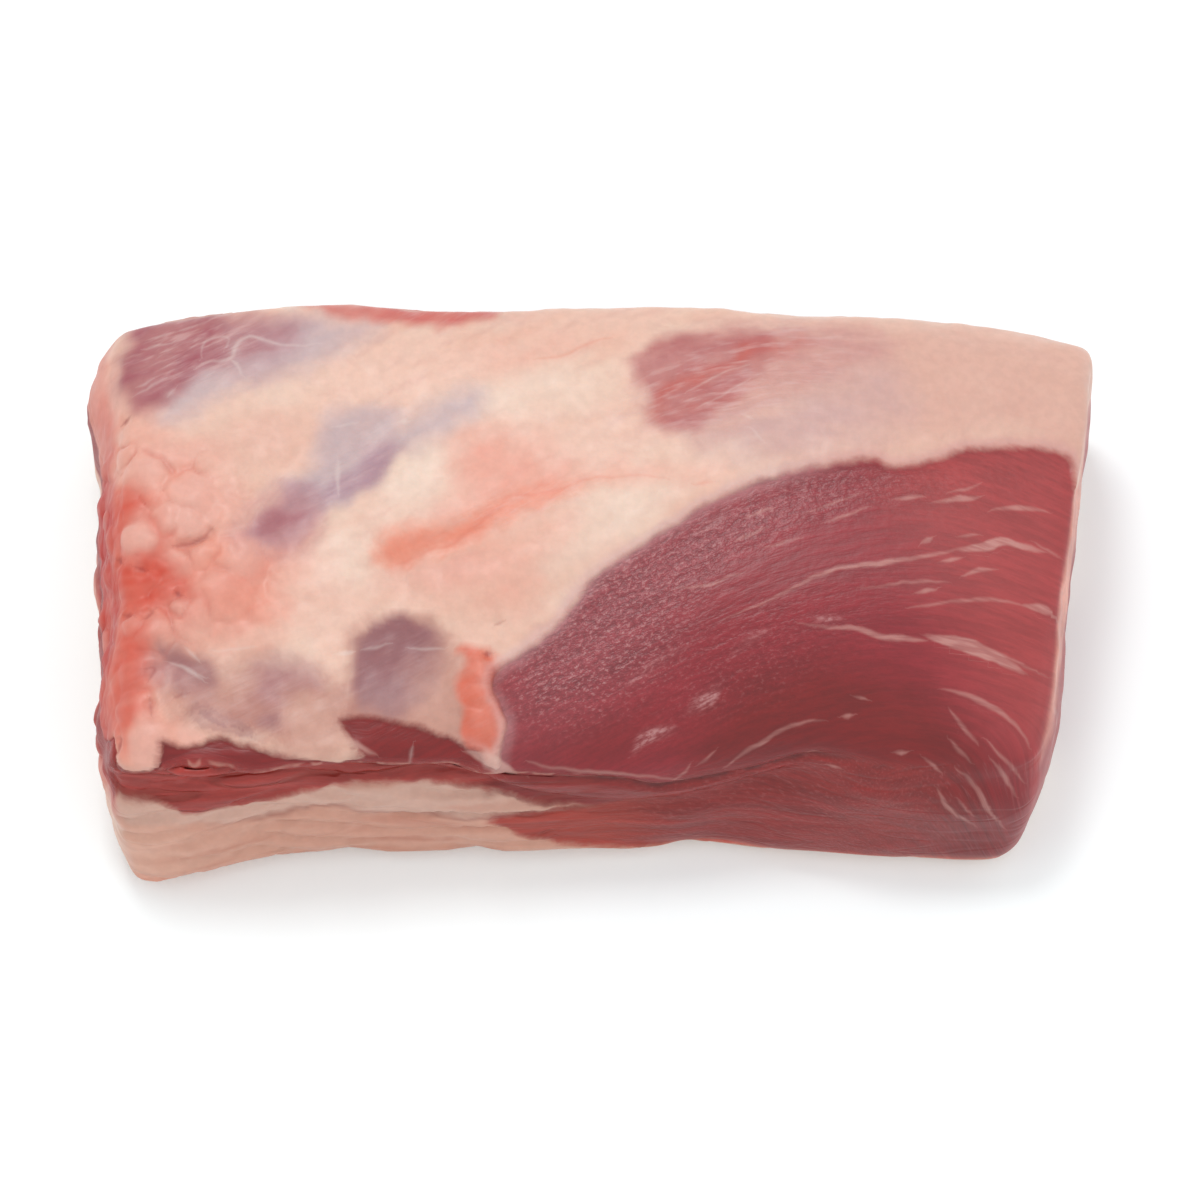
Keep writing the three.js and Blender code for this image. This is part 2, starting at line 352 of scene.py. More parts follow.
def pickFaces(meat, chosen):
    bpy.ops.object.mode_set(mode="EDIT")
    bpy.ops.mesh.select_mode(type="FACE")
    bpy.ops.mesh.select_all(action="DESELECT")
    bpy.ops.object.mode_set(mode="OBJECT")
    meat.data.polygons.foreach_set("select", chosen)
    bpy.ops.object.mode_set(mode="EDIT")


def copyLoinSolid(settings):
    bpy.ops.object.select_all(action="DESELECT")
    loinNode.select_set(True)
    bpy.context.view_layer.objects.active = loinNode
    bpy.ops.object.duplicate()
    meat = bpy.context.object
    meat.name = settings["name"]
    meat.data.name = settings["name"]
    meat.parent = None
    del meat["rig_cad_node"]
    meat.data.materials.clear()

    bpy.ops.object.mode_set(mode="EDIT")
    bpy.ops.mesh.select_all(action="SELECT")
    bpy.ops.mesh.remove_doubles(threshold=settings["mergeGap"] * mm)
    bpy.ops.mesh.tris_convert_to_quads(face_threshold=math.pi, shape_threshold=math.pi)
    bpy.ops.object.mode_set(mode="OBJECT")
    rounder = meat.modifiers.new("rounding", "SUBSURF")
    rounder.levels = settings["rounding"]
    rounder.render_levels = settings["rounding"]
    bpy.ops.object.modifier_apply(modifier=rounder.name)

    pickFaces(meat, faceCentres(meat)[2] < settings["flatBelow"])
    bpy.ops.mesh.unsubdivide(iterations=settings["coarser"])
    bpy.ops.object.mode_set(mode="OBJECT")
    x, y, z = faceCentres(meat)
    chosen = np.zeros(len(x), bool)
    for outline, low, high in settings["fineZones"]:
        chosen |= (insideOutline(outline, x, y) > 0.0) & (z > low) & (z < high)
    pickFaces(meat, chosen)
    bpy.ops.mesh.subdivide(number_cuts=settings["fineCuts"], smoothness=0.0)
    bpy.ops.object.mode_set(mode="OBJECT")
    bpy.ops.object.shade_smooth()
    return meat


meat = copyLoinSolid(loinMesh)
triangleCount = sum(len(face.vertices) - 2 for face in meat.data.polygons)
print("meat mesh:", len(meat.data.vertices), "points", triangleCount, "triangles")


# raw pork colours as they look in soft light, 0 to 255

porkColours = {
    "cream": (239, 198, 180),
    "paleCream": (238, 206, 187),
    "milk": (244, 219, 202),
    "peach": (236, 188, 168),
    "beige": (225, 178, 163),
    "blush": (238, 166, 148),
    "coral": (217, 91, 74),
    "orange": (240, 148, 124),
    "lilac": (204, 180, 182),
    "mauve": (174, 133, 147),
    "dusk": (156, 105, 108),
    "smear": (188, 131, 119),
    "muscle": (170, 97, 106),
    "greyMauve": (192, 154, 158),
    "blushMauve": (204, 150, 148),
    "leftRed": (188, 50, 38),
    "windowPink": (210, 155, 148),
    "window": (189, 115, 114),
    "windowRed": (199, 104, 95),
    "windowHaze": (213, 172, 166),
    "smearPale": (216, 168, 152),
    "backRed": (212, 118, 110),
    "lobuleTop": (238, 181, 166),
    # red tissue between the fat lobules, partly painted shade in their creases
    "creaseRedAndShade": (206, 88, 72),
    "fringe": (222, 182, 178),
    "blushFringe": (216, 150, 140),
    "knob": (226, 121, 99),
    "frontFat": (217, 161, 141),
    "frontSeam": (219, 177, 161),
    "frontTan": (196, 128, 108),
    "streak": (228, 190, 186),
    "membrane": (232, 188, 176),
    "leanRim": (196, 138, 141),
    "leanMid": (152, 63, 69),
    "leanRight": (172, 80, 81),
    # the pebbly lean's own tone, with a painted sheen of its glints
    "pebblyLeanAndSheen": (162, 85, 91),
    "leanDark": (131, 42, 47),
    "leanFlank": (148, 62, 61),
    "leanBand": (170, 72, 67),
    "leanWedge": (168, 70, 61),
    "leanStrip": (138, 45, 45),
    "footRed": (224, 96, 74),
    "marbling": (212, 160, 152),
    # pale sinew, and also the colour of a painted glint
    "sinewAndGlint": (238, 222, 215),
    "crack": (150, 46, 40),
    "capillary": (226, 116, 92),
    # pale milky membrane, and also the tint of painted glints on the lean's crinkles
    "milkyAndGlint": (200, 148, 147),
    # a pale veil on the right end's upper rim, partly membrane, partly painted highlight
    "endVeilAndHighlight": (230, 158, 140),
    "rim": (226, 172, 156),
    # painted shadow under the front lip
    "lipShadow": (108, 38, 40),
    # painted shade in the fold lines, and in the crease at the foot of the front seam
    "foldShade": (140, 66, 56),
}
porkLight = {
    "onTop": 1.23,  # how brightly the rib side is lit
    "haze": 0.036,  # what the gloss adds everywhere
    "darkest": 0.004,
}


def asAlbedo(name):
    # the usual screen curve, without the haze and the light
    shown = []
    for value in porkColours[name]:
        share = value / 255.0
        linear = share / 12.92 if share <= 0.04045 else ((share + 0.055) / 1.055) ** 2.4
        shown.append(max(linear - porkLight["haze"], porkLight["darkest"]) / porkLight["onTop"])
    return (*shown, 1.0)


def coatAll(name):
    return np.tile(np.array(asAlbedo(name)[:3]), (len(places), 1))


def layOver(tints, share, name):
    return tints + share[:, None] * (np.array(asAlbedo(name)[:3]) - tints)


# where the lean and the fat lie, in millimetres

leanMuscle = {
    # the line between the fat and the eye muscle, from the right end round to the front
    "edge": [
        (150, 12), (134, 15), (131, 25), (122, 27), (103, 26), (95, 23), (83, 21), (75, 23), (53, 19),
        (36, 13), (20, 3), (1, -10), (-10, -24), (-24, -35), (-27, -41), (-23, -50), (-25, -58), (-26, -70),
    ],
    # outlines of the two lean strips that show over the front lip
    "strips": [
        [(-115.5, -56), (-111, -57.3), (-106, -56.8), (-100, -55), (-94, -56.6), (-88, -58), (-83, -59.4),
         (-78, -60.4), (-72, -63), (-72, -70), (-117, -70)],
        [(-67, -50), (-61, -49), (-55, -49.8), (-49, -51.2), (-43, -52.6), (-38, -54), (-32, -56.5),
         (-26, -60), (-22, -70), (-62, -70), (-60, -60), (-65, -56)],
    ],
    # heights on the front side: the lip, then the feet of the upper lean band, the pale seam and the wedge
    "lip": [
        (-140, 50), (-126, 52), (-115, 54), (-107, 54.6), (-98, 54), (-89, 53), (-79, 53.6), (-65, 53.2),
        (-57, 51.8), (-45, 50.6), (-37, 49.6), (-24, 46.4), (-8, 44), (5, 43), (12, 41), (18, 39), (27, 39),
        (36, 40), (45, 41.2), (52, 43), (59, 45), (70, 46), (140, 46),
    ],
    "bandFoot": [
        (-140, 38), (-122, 39), (-114, 36), (-109, 33), (-90, 35), (-71, 39), (-60, 40), (-41, 37),
        (-24, 33), (-16, 29), (3, 25), (20, 20),
    ],
    "seamFoot": [
        (-140, 30), (-117, 30), (-101, 27), (-91, 25), (-71, 30), (-60, 28), (-36, 24), (-16, 25), (3, 26),
        (20, 30),
    ],
    "wedgeFoot": [(-27, 22), (-19, 16), (-14, 14), (-3, 9), (20, 7), (60, 4), (145, 4)],
    "wedgeTip": -27,
    "wedgeSlope": 0.5,
    # heights of the lean's edges on the back along x, and on the two ends along y
    "backTop": [(-145, 33), (-112, 30), (-80, 35), (-44, 33), (-8, 39), (36, 42), (80, 40), (145, 44)],
    "backFoot": [(-145, 19), (-104, 21), (-60, 17), (-20, 19), (30, 14), (80, 16), (145, 12)],
    "leftTop": [(-80, 50), (-58, 47), (-30, 45), (0, 39), (30, 38), (56, 33), (80, 33)],
    "leftFoot": [(-80, 38), (-46, 34), (-16, 31), (14, 25), (44, 24), (80, 19)],
    "rightTop": [(-80, 90), (6, 76), (14, 62), (24, 54), (44, 47), (62, 46), (80, 43)],
    "rightFoot": [(-80, 4), (-30, 6), (10, 5), (50, 8), (80, 12)],
    "underside": 12.0,  # no lean faces down below this height
    "deepest": 8.0,  # how far from its edge the lean is still measured
}
meatSides = {
    "up": (0.15, 0.55),  # how far a point has to face up to be on the rib side
    "down": (0.35, 0.75),
    "sharpness": 3,
    "leastPull": 1e-6,
    "overLip": (1.0, -1.0),  # height over the lip, down to where the front begins
    "lipFrom": (-50.0, -54.0),  # y
}
pebbleShapes = [
    (12, 1.0, (0, -26), (30, 16), 40), (9, 0.7, (36, 2), (40, 9), 24), (14, 0.45, (40, -34), (40, 16), 20),
    (8, 0.35, (96, 18), (36, 8), 5),
]
lobuleShapes = [
    (8, 1.0, [(-146, 30), (-114, 28), (-100, 20), (-93, 6), (-84, -8), (-90, -20), (-112, -28), (-146, -30)]),
    (5, 0.8, [(-146, -26), (-118, -28), (-117, -60), (-146, -60)]), (3, 0.9, (-31, -43), (6, 13), 5),
    (6, 0.6, (-40, 0), (20, 10), 20), (9, 0.4, (-60, -6), (24, 8), 10),
]
wrinklyShapes = [
    (6, 1.0, (-112, 62), (20, 12), 20), (6, 0.3, (-94, -43), (26, 12), -8), (5, 0.2, (-52, -34), (12, 13), 0),
    (6, 0.4, (-66, 24), (22, 9), 45), (8, 1.0, (42, 50), (34, 14), 20), (5, 0.8, (-42, 72), (24, 6), 0),
    (5, 0.6, (-18, 12), (24, 5), 20), (5, 0.2, (-30, -44), (9, 14), 0),
]
skinLayout = {
    "leanEdge": (-0.6, 0.6),
    "overEdge": (40.0, 56.0),  # z, where the rib side's colours run over onto the back and the right end
    "leftTop": (18.0, 36.0),  # z, and where they run over onto the left end
    "leftSide": (10.0, -30.0),  # x
    "frontPebble": 0.4,
    "frontPebbleFrom": (-20.0, 20.0),  # x
    "lipReach": 9.0,
    "frontFrom": (-50.0, -55.0),  # y
    "frontFacing": (0.1, 0.4),
    "lipRimFade": (30.0, 0.0),  # x
    "lipCreaseFade": (80.0, 55.0),  # x
    "leanFolds": 0.3,
    "leftLeanFolds": 0.7,  # more on the left
    "fatFolds": 0.22,
    "backFolds": 0.15,
    "leftFolds": 0.3,
    "smallMottles": 0.35,  # their share
}


def sideShares(places, facing, sides):
    up = fade(sides["up"], facing[:, 2])
    down = fade(sides["down"], -facing[:, 2])
    pulls = np.stack([-facing[:, 1], facing[:, 1], -facing[:, 0], facing[:, 0]])
    pulls = np.clip(pulls, 0.0, None) ** sides["sharpness"] + sides["leastPull"]
    pulls *= (1.0 - up - down) / pulls.sum(0)
    front, back, left, right = pulls
    x, y, z = places.T
    underLip = fade(sides["overLip"], z - alongX(leanMuscle["lip"], x)) * fade(sides["lipFrom"], y)
    front = front + up * underLip
    up = up * (1.0 - underLip)
    return {"up": up, "down": down, "front": front, "back": back, "left": left, "right": right}


def leanDepth(places, shares, sway, sideSway, muscle):
    # how deep in the lean a point is, negative in the fat
    x, y, z = (places + sway).T
    sideX, sideY, sideZ = (places + sideSway).T

    def betweenProfiles(foot, top, along):
        return np.minimum(sideZ - alongX(muscle[foot], along), alongX(muscle[top], along) - sideZ)

    upper = sideOfLine(muscle["edge"], x, y)
    for strip in muscle["strips"]:
        upper = np.maximum(upper, insideOutline(strip, x, y))
    band = z - alongX(muscle["bandFoot"], x)
    wedge = np.minimum(alongX(muscle["seamFoot"], x) - z, z - alongX(muscle["wedgeFoot"], x))
    wedge = np.minimum(wedge, (x - muscle["wedgeTip"]) * muscle["wedgeSlope"])
    fields = {
        "up": upper,
        "front": np.maximum(band, wedge),
        "back": betweenProfiles("backFoot", "backTop", sideX),
        "left": betweenProfiles("leftFoot", "leftTop", sideY),
        "right": betweenProfiles("rightFoot", "rightTop", sideY),
        "down": z - muscle["underside"],
    }
    deepest = muscle["deepest"]
    return sum(shares[key] * np.clip(fields[key], -deepest, deepest) for key in shares)


places, facing = readMeat(meat)
shares = sideShares(places, facing, meatSides)
placeX, placeY, placeZ = places.T
broadSway = wander(places, "broad")
middleSway = wander(places, "middle")
fineSway = wander(places, "fine")
sideSway = wander(places, "side") + middleSway
swayX, swayY = (places + broadSway + middleSway + fineSway).T[:2]

lean = leanDepth(places, shares, fineSway, sideSway, leanMuscle)
isLean = fade(skinLayout["leanEdge"], lean)
isFat = 1.0 - isLean
onRibs = shares["up"]
overEdge = np.maximum(onRibs, (shares["back"] + shares["right"]) * fade(skinLayout["overEdge"], placeZ))
leftTop = shares["left"] * fade(skinLayout["leftTop"], placeZ + sideSway[:, 2])
leftSide = fade(skinLayout["leftSide"], placeX)
frontFacing = fade(skinLayout["frontFrom"], placeY) * fade(skinLayout["frontFacing"], -facing[:, 1])
lipGap = placeZ - alongX(leanMuscle["lip"], placeX)
lipGap = np.clip(lipGap, -skinLayout["lipReach"], skinLayout["lipReach"])
# where the groove under the lip is cut, and where its painted shadow is laid
lipCrease = frontFacing * fade(skinLayout["lipCreaseFade"], placeX)
frontPebble = shares["front"] * fade(skinLayout["frontPebbleFrom"], placeX) * skinLayout["frontPebble"]
pebble = paintShapes(swayX, swayY, pebbleShapes) * onRibs + frontPebble
lobuleZone = paintShapes(swayX, swayY, lobuleShapes) * (onRibs + shares["left"])
# where fold grooves are cut into the skin, with painted shade laid in them
leanFolds = isLean * (skinLayout["leanFolds"] + skinLayout["leftLeanFolds"] * leftSide)
folded = shares["front"] * (leanFolds + isFat * skinLayout["fatFolds"])
folded += skinLayout["backFolds"] * shares["back"] + skinLayout["leftFolds"] * shares["left"]
mottled = (1.0 - skinLayout["smallMottles"]) * ripple(places, "mottles")
mottled += skinLayout["smallMottles"] * ripple(places, "smallMottles")
skinPaint = {
    "lean": lean,
    "pebble": pebble,
    "wrinkly": paintShapes(swayX, swayY, wrinklyShapes) * onRibs,
    "folded": folded,
    "mottled": mottled,
    "lipGap": lipGap,
    "lipRim": frontFacing * fade(skinLayout["lipRimFade"], placeX),
    "lipCrease": lipCrease,
    "endCut": shares["right"],
}
for paintName, values in skinPaint.items():
    keepPaint(meat, paintName, values)
print("lean and fat are laid out")


# the run of the lean's fibres and of the fat: along and across, in millimetres

fibreRun = {
    "slope": (0.927, 0.375),  # the fibres are drawn on this slope of y and z
    "rise": [
        (-60, -46), (-27, -30), (0, -16.5), (30, -2), (50, 6), (65, 10), (80, 12), (95, 11.5), (110, 8),
        (125, 2), (145, -8),
    ],
    "slant": 0.4,
    "dropFrom": (85.0, 130.0),  # x
    "dropBelow": (-20.0, -60.0),
    "dropDepth": 30.0,
    "flankFade": (100.0, 60.0),  # x
    "flankSpread": 1.4,
    "flankShift": -103.0,  # brings the flank's count of fibres level with the top's
}
fatRun = {
    "rise": [(-145, -77), (-60, -33), (10, 5), (40, 15), (70, 17), (145, 9)],
    "slant": 0.5,
    "climb": 0.4,
}


def fibreGrain(run):
    x, y, z = places.T
    flat = run["slope"][0] * y + run["slope"][1] * z
    drop = fade(run["dropFrom"], x) * fade(run["dropBelow"], flat) * run["dropDepth"]
    across = flat - alongX(run["rise"], x) + drop
    along = x + run["slant"] * flat
    flank = np.maximum(shares["front"] * fade(run["flankFade"], x), shares["back"] + shares["left"])
    across = across * (1.0 - flank) + (run["flankSpread"] * z + run["flankShift"]) * flank
    along = along * (1.0 - flank) + (x + y) * flank
    return np.stack([along, across, np.zeros_like(along)], 1)


def fatGrain(run):
    x, y, z = places.T
    return np.stack([x + run["slant"] * y, y - alongX(run["rise"], x) + run["climb"] * z, z], 1)


grain = fibreGrain(fibreRun)
fatFlow = fatGrain(fatRun)
keepGrain(meat, "grain", grain)
keepGrain(meat, "fatFlow", fatFlow)
print("the fibres' run is laid out")


# thin lines: half width in mm, where along it is widest, and its places on the rib side

thinLines = {
    "marbling": [
        (0.5, 0.5, [(23, -13), (32, -12), (41, -9)]),
        (0.8, 0.7, [(36, -22), (48, -17), (54, -14), (62, -10), (67, -8), (76, -7), (93, -4), (102, -2)]),
        (1.4, 0.4, [(99, -2.6), (106, -2), (112, 0), (117, -1), (124, -2.5)]),
        (0.5, 0.5, [(42, 7), (50, 10)]), (0.5, 0.5, [(39, 0), (48, 4)]), (0.45, 0.5, [(47, -2), (57, 1)]),
        (0.5, 0.4, [(64, 5), (76, 10)]), (0.35, 0.5, [(58, 8), (74, 14)]),
        (0.9, 0.8, [(56, -23), (63, -24), (73, -25), (79, -27), (83, -27), (91, -28)]),
        (2.0, 0.45, [(90, -26.5), (98, -28), (105, -30), (112, -33), (118, -36)]),
        (0.6, 0.3, [(104, -28), (110, -31), (115, -33), (124, -36)]),
        (0.7, 0.5, [(83, 12), (91, 13)]), (0.85, 0.6, [(93, 11), (100, 12), (107, 13)]),
        (0.45, 0.5, [(98, 14), (103, 15), (107, 17)]), (0.8, 0.5, [(109, 9), (117, 10), (125, 9)]),
        (0.5, 0.5, [(100, 1), (106, 2)]), (0.8, 0.6, [(90, -1), (93, 1)]), (0.7, 0.5, [(95, -6), (101, -5)]),
        (0.75, 0.5, [(101, -10), (104, -9), (110, -8)]), (0.5, 0.7, [(73, -14), (86, -12), (97, -12)]),
        (0.75, 0.5, [(88, -15), (94, -14)]),
        (0.55, 0.6, [(86, -19), (102, -17), (113, -17), (118, -18)]),
        (1.2, 0.5, [(117, -17.6), (123, -19), (127, -22)]), (0.35, 0.5, [(121, 0), (128, -4)]),
        (0.75, 0.4, [(95, -40), (103, -42), (111, -46), (117, -51), (119, -54)]),
        (0.55, 0.5, [(97, -45), (100, -49), (105, -54)]), (0.6, 0.5, [(107, -53), (112, -57), (118, -61)]),
        (0.6, 0.5, [(97, -53), (99, -55), (103, -58)]), (0.7, 0.5, [(108, -57), (112, -60), (116, -64)]),
        (0.8, 0.5, [(99, -59), (104, -62), (108, -66), (114, -69)]), (0.5, 0.5, [(90, -57), (95, -60)]),
        (0.7, 0.4, [(94, -63), (97, -66), (101, -68), (106, -69)]), (0.4, 0.5, [(100, -65), (105, -68)]),
        (0.7, 0.5, [(82, -56), (86, -56)]), (0.6, 0.5, [(68, -47), (71, -47)]),
        (0.5, 0.5, [(71, -42), (75, -43)]),
        (0.7, 0.4, [(36, -58), (42, -55), (48, -52), (55, -49), (63, -48)]),
        (0.5, 0.5, [(22, -61), (26, -59), (27, -58)]), (0.4, 0.5, [(29, -58), (34, -55)]),
        (0.6, 0.5, [(58, -55), (63, -55)]), (0.6, 0.5, [(64, -57), (68, -58)]),
    ],
    "milkySmears": [
        (2.0, 0.5, [(26, -46), (32, -42), (35, -39)]), (1.8, 0.5, [(11, -56), (15, -52), (23, -50)]),
        (0.9, 0.5, [(38, -31), (44, -27), (48, -25)]), (0.8, 0.5, [(8, -40), (18, -33), (26, -29)]),
        (1.0, 0.5, [(28, 2), (34, 6), (38, 10)]), (1.0, 0.5, [(60, -22), (68, -22)]),
    ],
    "sinewAndGlint": [
        (0.6, 0.4, [(-110.5, 55), (-106.5, 57), (-101, 57.5), (-99, 62.5), (-95, 64.5), (-90, 62.5),
                    (-85.5, 61.5), (-76.5, 62)]),
        (0.5, 0.3, [(-101, 57.5), (-99, 55.5), (-97, 52)]),
        (0.3, 0.5, [(-109, 58), (-108.5, 62.5), (-104.5, 64.5), (-101.5, 64), (-102.5, 61)]),
        (0.4, 0.5, [(-125, 61), (-117, 63)]), (0.4, 0.5, [(-124, 64), (-118, 66.5)]),
        (0.4, 0.5, [(-116, 67), (-111, 69)]), (0.4, 0.5, [(-126.5, 46), (-118.5, 51.5)]),
        (0.4, 0.5, [(-126, 48.5), (-122.5, 50.5)]), (0.4, 0.5, [(-117.5, 45), (-116, 48)]),
        (0.7, 0.5, [(-70, 26), (-69.7, 15.5)]), (0.4, 0.5, [(-71, 35.5), (-65, 37)]),
        # a painted glint, drawn as a short pale line
        (0.8, 0.5, [(-53.2, 37.7), (-50.3, 37.7)]),
        (0.7, 0.5, [(-114.3, -34), (-110, -35.5), (-104.6, -38.4)]), (0.6, 0.5, [(-110, -29.6), (-106, -33)]),
        (0.4, 0.5, [(-107.5, -36.6), (-104.6, -37.8)]), (0.4, 0.5, [(-102, -30), (-91, -29)]),
        (0.9, 0.5, [(-69.3, -31.2), (-64.2, -30.8)]), (0.4, 0.5, [(-62, -30), (-54.5, -28)]),
        (0.45, 0.5, [(-49, -29.5), (-39.5, -29.5)]), (0.4, 0.5, [(-48, -56), (-49, -59)]),
        (0.25, 0.5, [(26.5, 45), (33.5, 49.5), (43.5, 53.5)]), (0.2, 0.5, [(30, 40), (44, 48.5)]),
        (0.4, 0.5, [(42, 37.2), (44.8, 35.5)]), (0.3, 0.5, [(43.3, 32.7), (47.5, 28.3)]),
    ],
    "membranes": [
        (2.0, 0.4, [(-34, -57), (-29, -58), (-23, -60), (-18, -61)]),
        (1.0, 0.4, [(-66, -53), (-64, -56), (-58, -58.5)]),
        (0.5, 0.5, [(-17, -58.2), (-8, -59.3), (3, -59.9), (14, -60.5), (25, -60.6)]),
        (0.4, 0.5, [(-12, -60.4), (0, -61), (10, -61.6)]),
    ],
    "cracks": [
        (0.6, 0.6, [(-113.3, -0.4), (-108.3, 0.4), (-105.8, 1.7), (-103.7, 3.9)]),
        (0.7, 0.5, [(-124, -6), (-121, -7.2)]), (0.9, 0.5, [(-113, -14), (-111, -15)]),
        (0.8, 0.5, [(-128.7, -2.6), (-127.4, -4)]),
        (0.7, 0.5, [(-126, -19.4), (-124, -20.7)]), (0.6, 0.5, [(-121, -21.8), (-119, -19.5)]),
        (0.5, 0.5, [(-120, -36), (-118, -36), (-119, -39)]), (0.5, 0.5, [(-119, -45), (-118, -49)]),
        (0.4, 0.5, [(-112.2, -44.3), (-109.5, -42.3)]), (0.7, 0.5, [(-126, -54), (-127, -58)]),
        (1.0, 0.5, [(-129.7, 37.4), (-128, 39.6)]), (0.9, 0.5, [(-29, -32), (-27, -31.5)]),
        (0.35, 0.5, [(-26, -23), (-24, -22)]),
    ],
    "capillaries": [
        (0.6, 0.5, [(-53, -5), (-49.6, -3.6), (-43, -0.9), (-38.6, 0.4), (-33, 4.5), (-28, 8.5),
                    (-22.5, 13.4)]),
        (0.45, 0.3, [(-27, 9), (-22, 14), (-16, 14), (-9, 15), (-1, 18), (11, 19), (21, 18)]),
        (0.45, 0.4, [(-15, 56), (-8, 57), (-3, 60), (5, 63)]), (0.5, 0.5, [(28, 16), (33, 17)]),
        (0.5, 0.5, [(-57, 69), (-50, 73), (-35, 72), (-29, 73)]),
    ],
}
lineSettings = {
    "room": 5.5,  # mm between the lines of one set
    "reach": 1.9,  # mm to the side of a line that are measured
    "blunt": 0.55,  # how blunt the ends are
    "aside": 99.0,  # what a point away from all lines gets
    "noWidth": -5.0,
}
dropHeight = 200.0  # mm, above all of the meat
midHeight = 50.0


def ontoRibSide(x, y):
    hit = ribTree.ray_cast(Vector((x, y, dropHeight)), Vector((0.0, 0.0, -1.0)))[0]
    if hit is None:
        hit = ribTree.find_nearest(Vector((x, y, midHeight)))[0]
    return np.array(hit)


def layRoutes(strands):
    routes = []
    for halfWidth, peak, path in strands:
        corners = [ontoRibSide(x, y) for x, y in path]
        routes.append((halfWidth, peak, np.array(smoothRoute(corners))))
    return routes


def sortApart(routes, room):
    # shares the lines out, so that lines in one set keep this much room between them
    sets = []
    for route in routes:
        for chosen in sets:
            gaps = [np.linalg.norm(route[2][:, None] - other[2][None], axis=2).min() for other in chosen]
            if min(gaps) > room:
                chosen.append(route)
                break
        else:
            sets.append([route])
    return sets


def strandLines(routes, reach, settings):
    # how far to the side of the nearest line a point is, and the line's half width there
    side = np.full(len(places), settings["aside"])
    half = np.full(len(places), settings["noWidth"])
    nearest = np.full(len(places), reach)
    for halfWidth, peak, route in routes:
        lengths = np.linalg.norm(np.diff(route, axis=0), axis=1)
        total = lengths.sum()
        low = route.min(0) - reach - halfWidth
        high = route.max(0) + reach + halfWidth
        close = np.flatnonzero(((places > low) & (places < high)).all(1))
        done = 0.0
        for start, stop, length in zip(route, route[1:], lengths):
            run = (stop - start) / length
            offset = places[close] - start
            along = np.clip(offset @ run, 0.0, length)
            gap = np.linalg.norm(offset - along[:, None] * run, axis=1)
            left = np.sign((np.cross(run, offset) * facing[close]).sum(1))
            share = (done + along) / total
            taper = np.clip(share / peak, 0.0, 1.0) * np.clip((1.0 - share) / (1.0 - peak), 0.0, 1.0)
            width = halfWidth * taper ** settings["blunt"]
            better = gap - width < nearest[close]
            picked = close[better]
            nearest[picked] = (gap - width)[better]
            side[picked] = (gap * left)[better]
            half[picked] = width[better]
            done += length
    return side, half


def layerName(name, part, number):
    return name + part + str(number)


ribTree = BVHTree.FromPolygons(
    [Vector(p) for p in places], [tuple(face.vertices) for face in meat.data.polygons]
)
lineRoutes = {}
for lineName, strands in thinLines.items():
    lineRoutes[lineName] = sortApart(layRoutes(strands), lineSettings["room"])
    for number, routes in enumerate(lineRoutes[lineName]):
        side, half = strandLines(routes, lineSettings["reach"], lineSettings)
        keepPaint(meat, layerName(lineName, "Side", number), side)
        keepPaint(meat, layerName(lineName, "Half", number), half)
print("thin lines are laid out:", {name: len(sets) for name, sets in lineRoutes.items()})


# puffy fat: soft cushions with creases between them, and round lobules that stand out

puffs = {
    "smallShare": 0.35,  # of the small cushions
    "fullness": 2.4,
    "share": 0.5,  # how high the cushions are beside the lobules
    "cushionBend": 1.4,  # times the broad sway
    "lobuleBend": 1.5,  # times the fine sway
    "lobules": [  # x, y, radius and paleness
        (-108.6, 13.7, 6.2, 1.0), (-110, 5, 5.8, 1.0), (-115.5, 6.7, 4.2, 0.7), (-123, 1, 5.2, 0.9),
        (-122, 21, 6.0, 0.7), (-115, 27, 6.5, 0.5), (-111.5, -6, 5.0, 0.5), (-114.5, -13.5, 4.4, 0.2),
        (-111.8, -18.4, 3.2, 0.8), (-117.5, -25.5, 6.0, 0.1), (-99, -14.7, 7.5, 0.2), (-94.7, -5.7, 6.5, 0.6),
        (-106.5, -3.5, 4.5, 0.3), (-99, 8, 5.5, 0.7), (-124.4, -11, 5.5, 0.0), (-109.3, -22, 6.0, 0.1),
        (-118, -57, 6.0, 0.9), (-124, -46, 5.0, 0.1), (-122, -36, 6.0, 0.1), (-30, -36, 5.0, 0.2),
        (-29.5, -43, 4.6, 0.1), (-29, -50, 5.6, 0.3), (-45, -9, 6.0, 0.7), (-34, -8, 6.0, 0.6),
        (-40, 10, 5.0, 0.4), (-56, -12, 7.0, 0.6), (-70, -14, 8.0, 0.6),
    ],
    "scattered": {
        "seed": 11,
        "tries": 500,
        "x": (-136, -84),
        "y": (-58, 34),
        "radius": (3.0, 5.4),
        "paleness": (0.0, 0.6),
        "room": 0.8,  # between two middles, as a share of both radii
    },
    # as shares of the lobule's radius
    "far": 9.0,
    "creaseWidth": (0.4, 0.0),
    "creaseReach": (1.4, 1.0),
    "paleReach": (1.1, 0.5),
    "creaseGaps": (0.35, 0.6),
    "domeDrop": 0.8,
    "domeCrease": 0.6,
}


def cushion(places, name, fullness):
    swell = np.clip(np.abs(2.0 * ripple(places, name) - 1.0) * fullness, 0.0, 1.0)
    return 1.0 - (1.0 - swell) ** 2


def scatterLobules(settings):
    # small lobules fill the room between the listed ones
    scattered = settings["scattered"]
    room = scattered["room"]
    draw = np.random.default_rng(scattered["seed"])
    lobules = list(settings["lobules"])
    for attempt in range(scattered["tries"]):
        x = draw.uniform(*scattered["x"])
        y = draw.uniform(*scattered["y"])
        radius = draw.uniform(*scattered["radius"])
        paleness = draw.uniform(*scattered["paleness"])
        if all(math.hypot(x - other[0], y - other[1]) > room * (radius + other[2]) for other in lobules):
            lobules.append((x, y, radius, paleness))
    return lobules


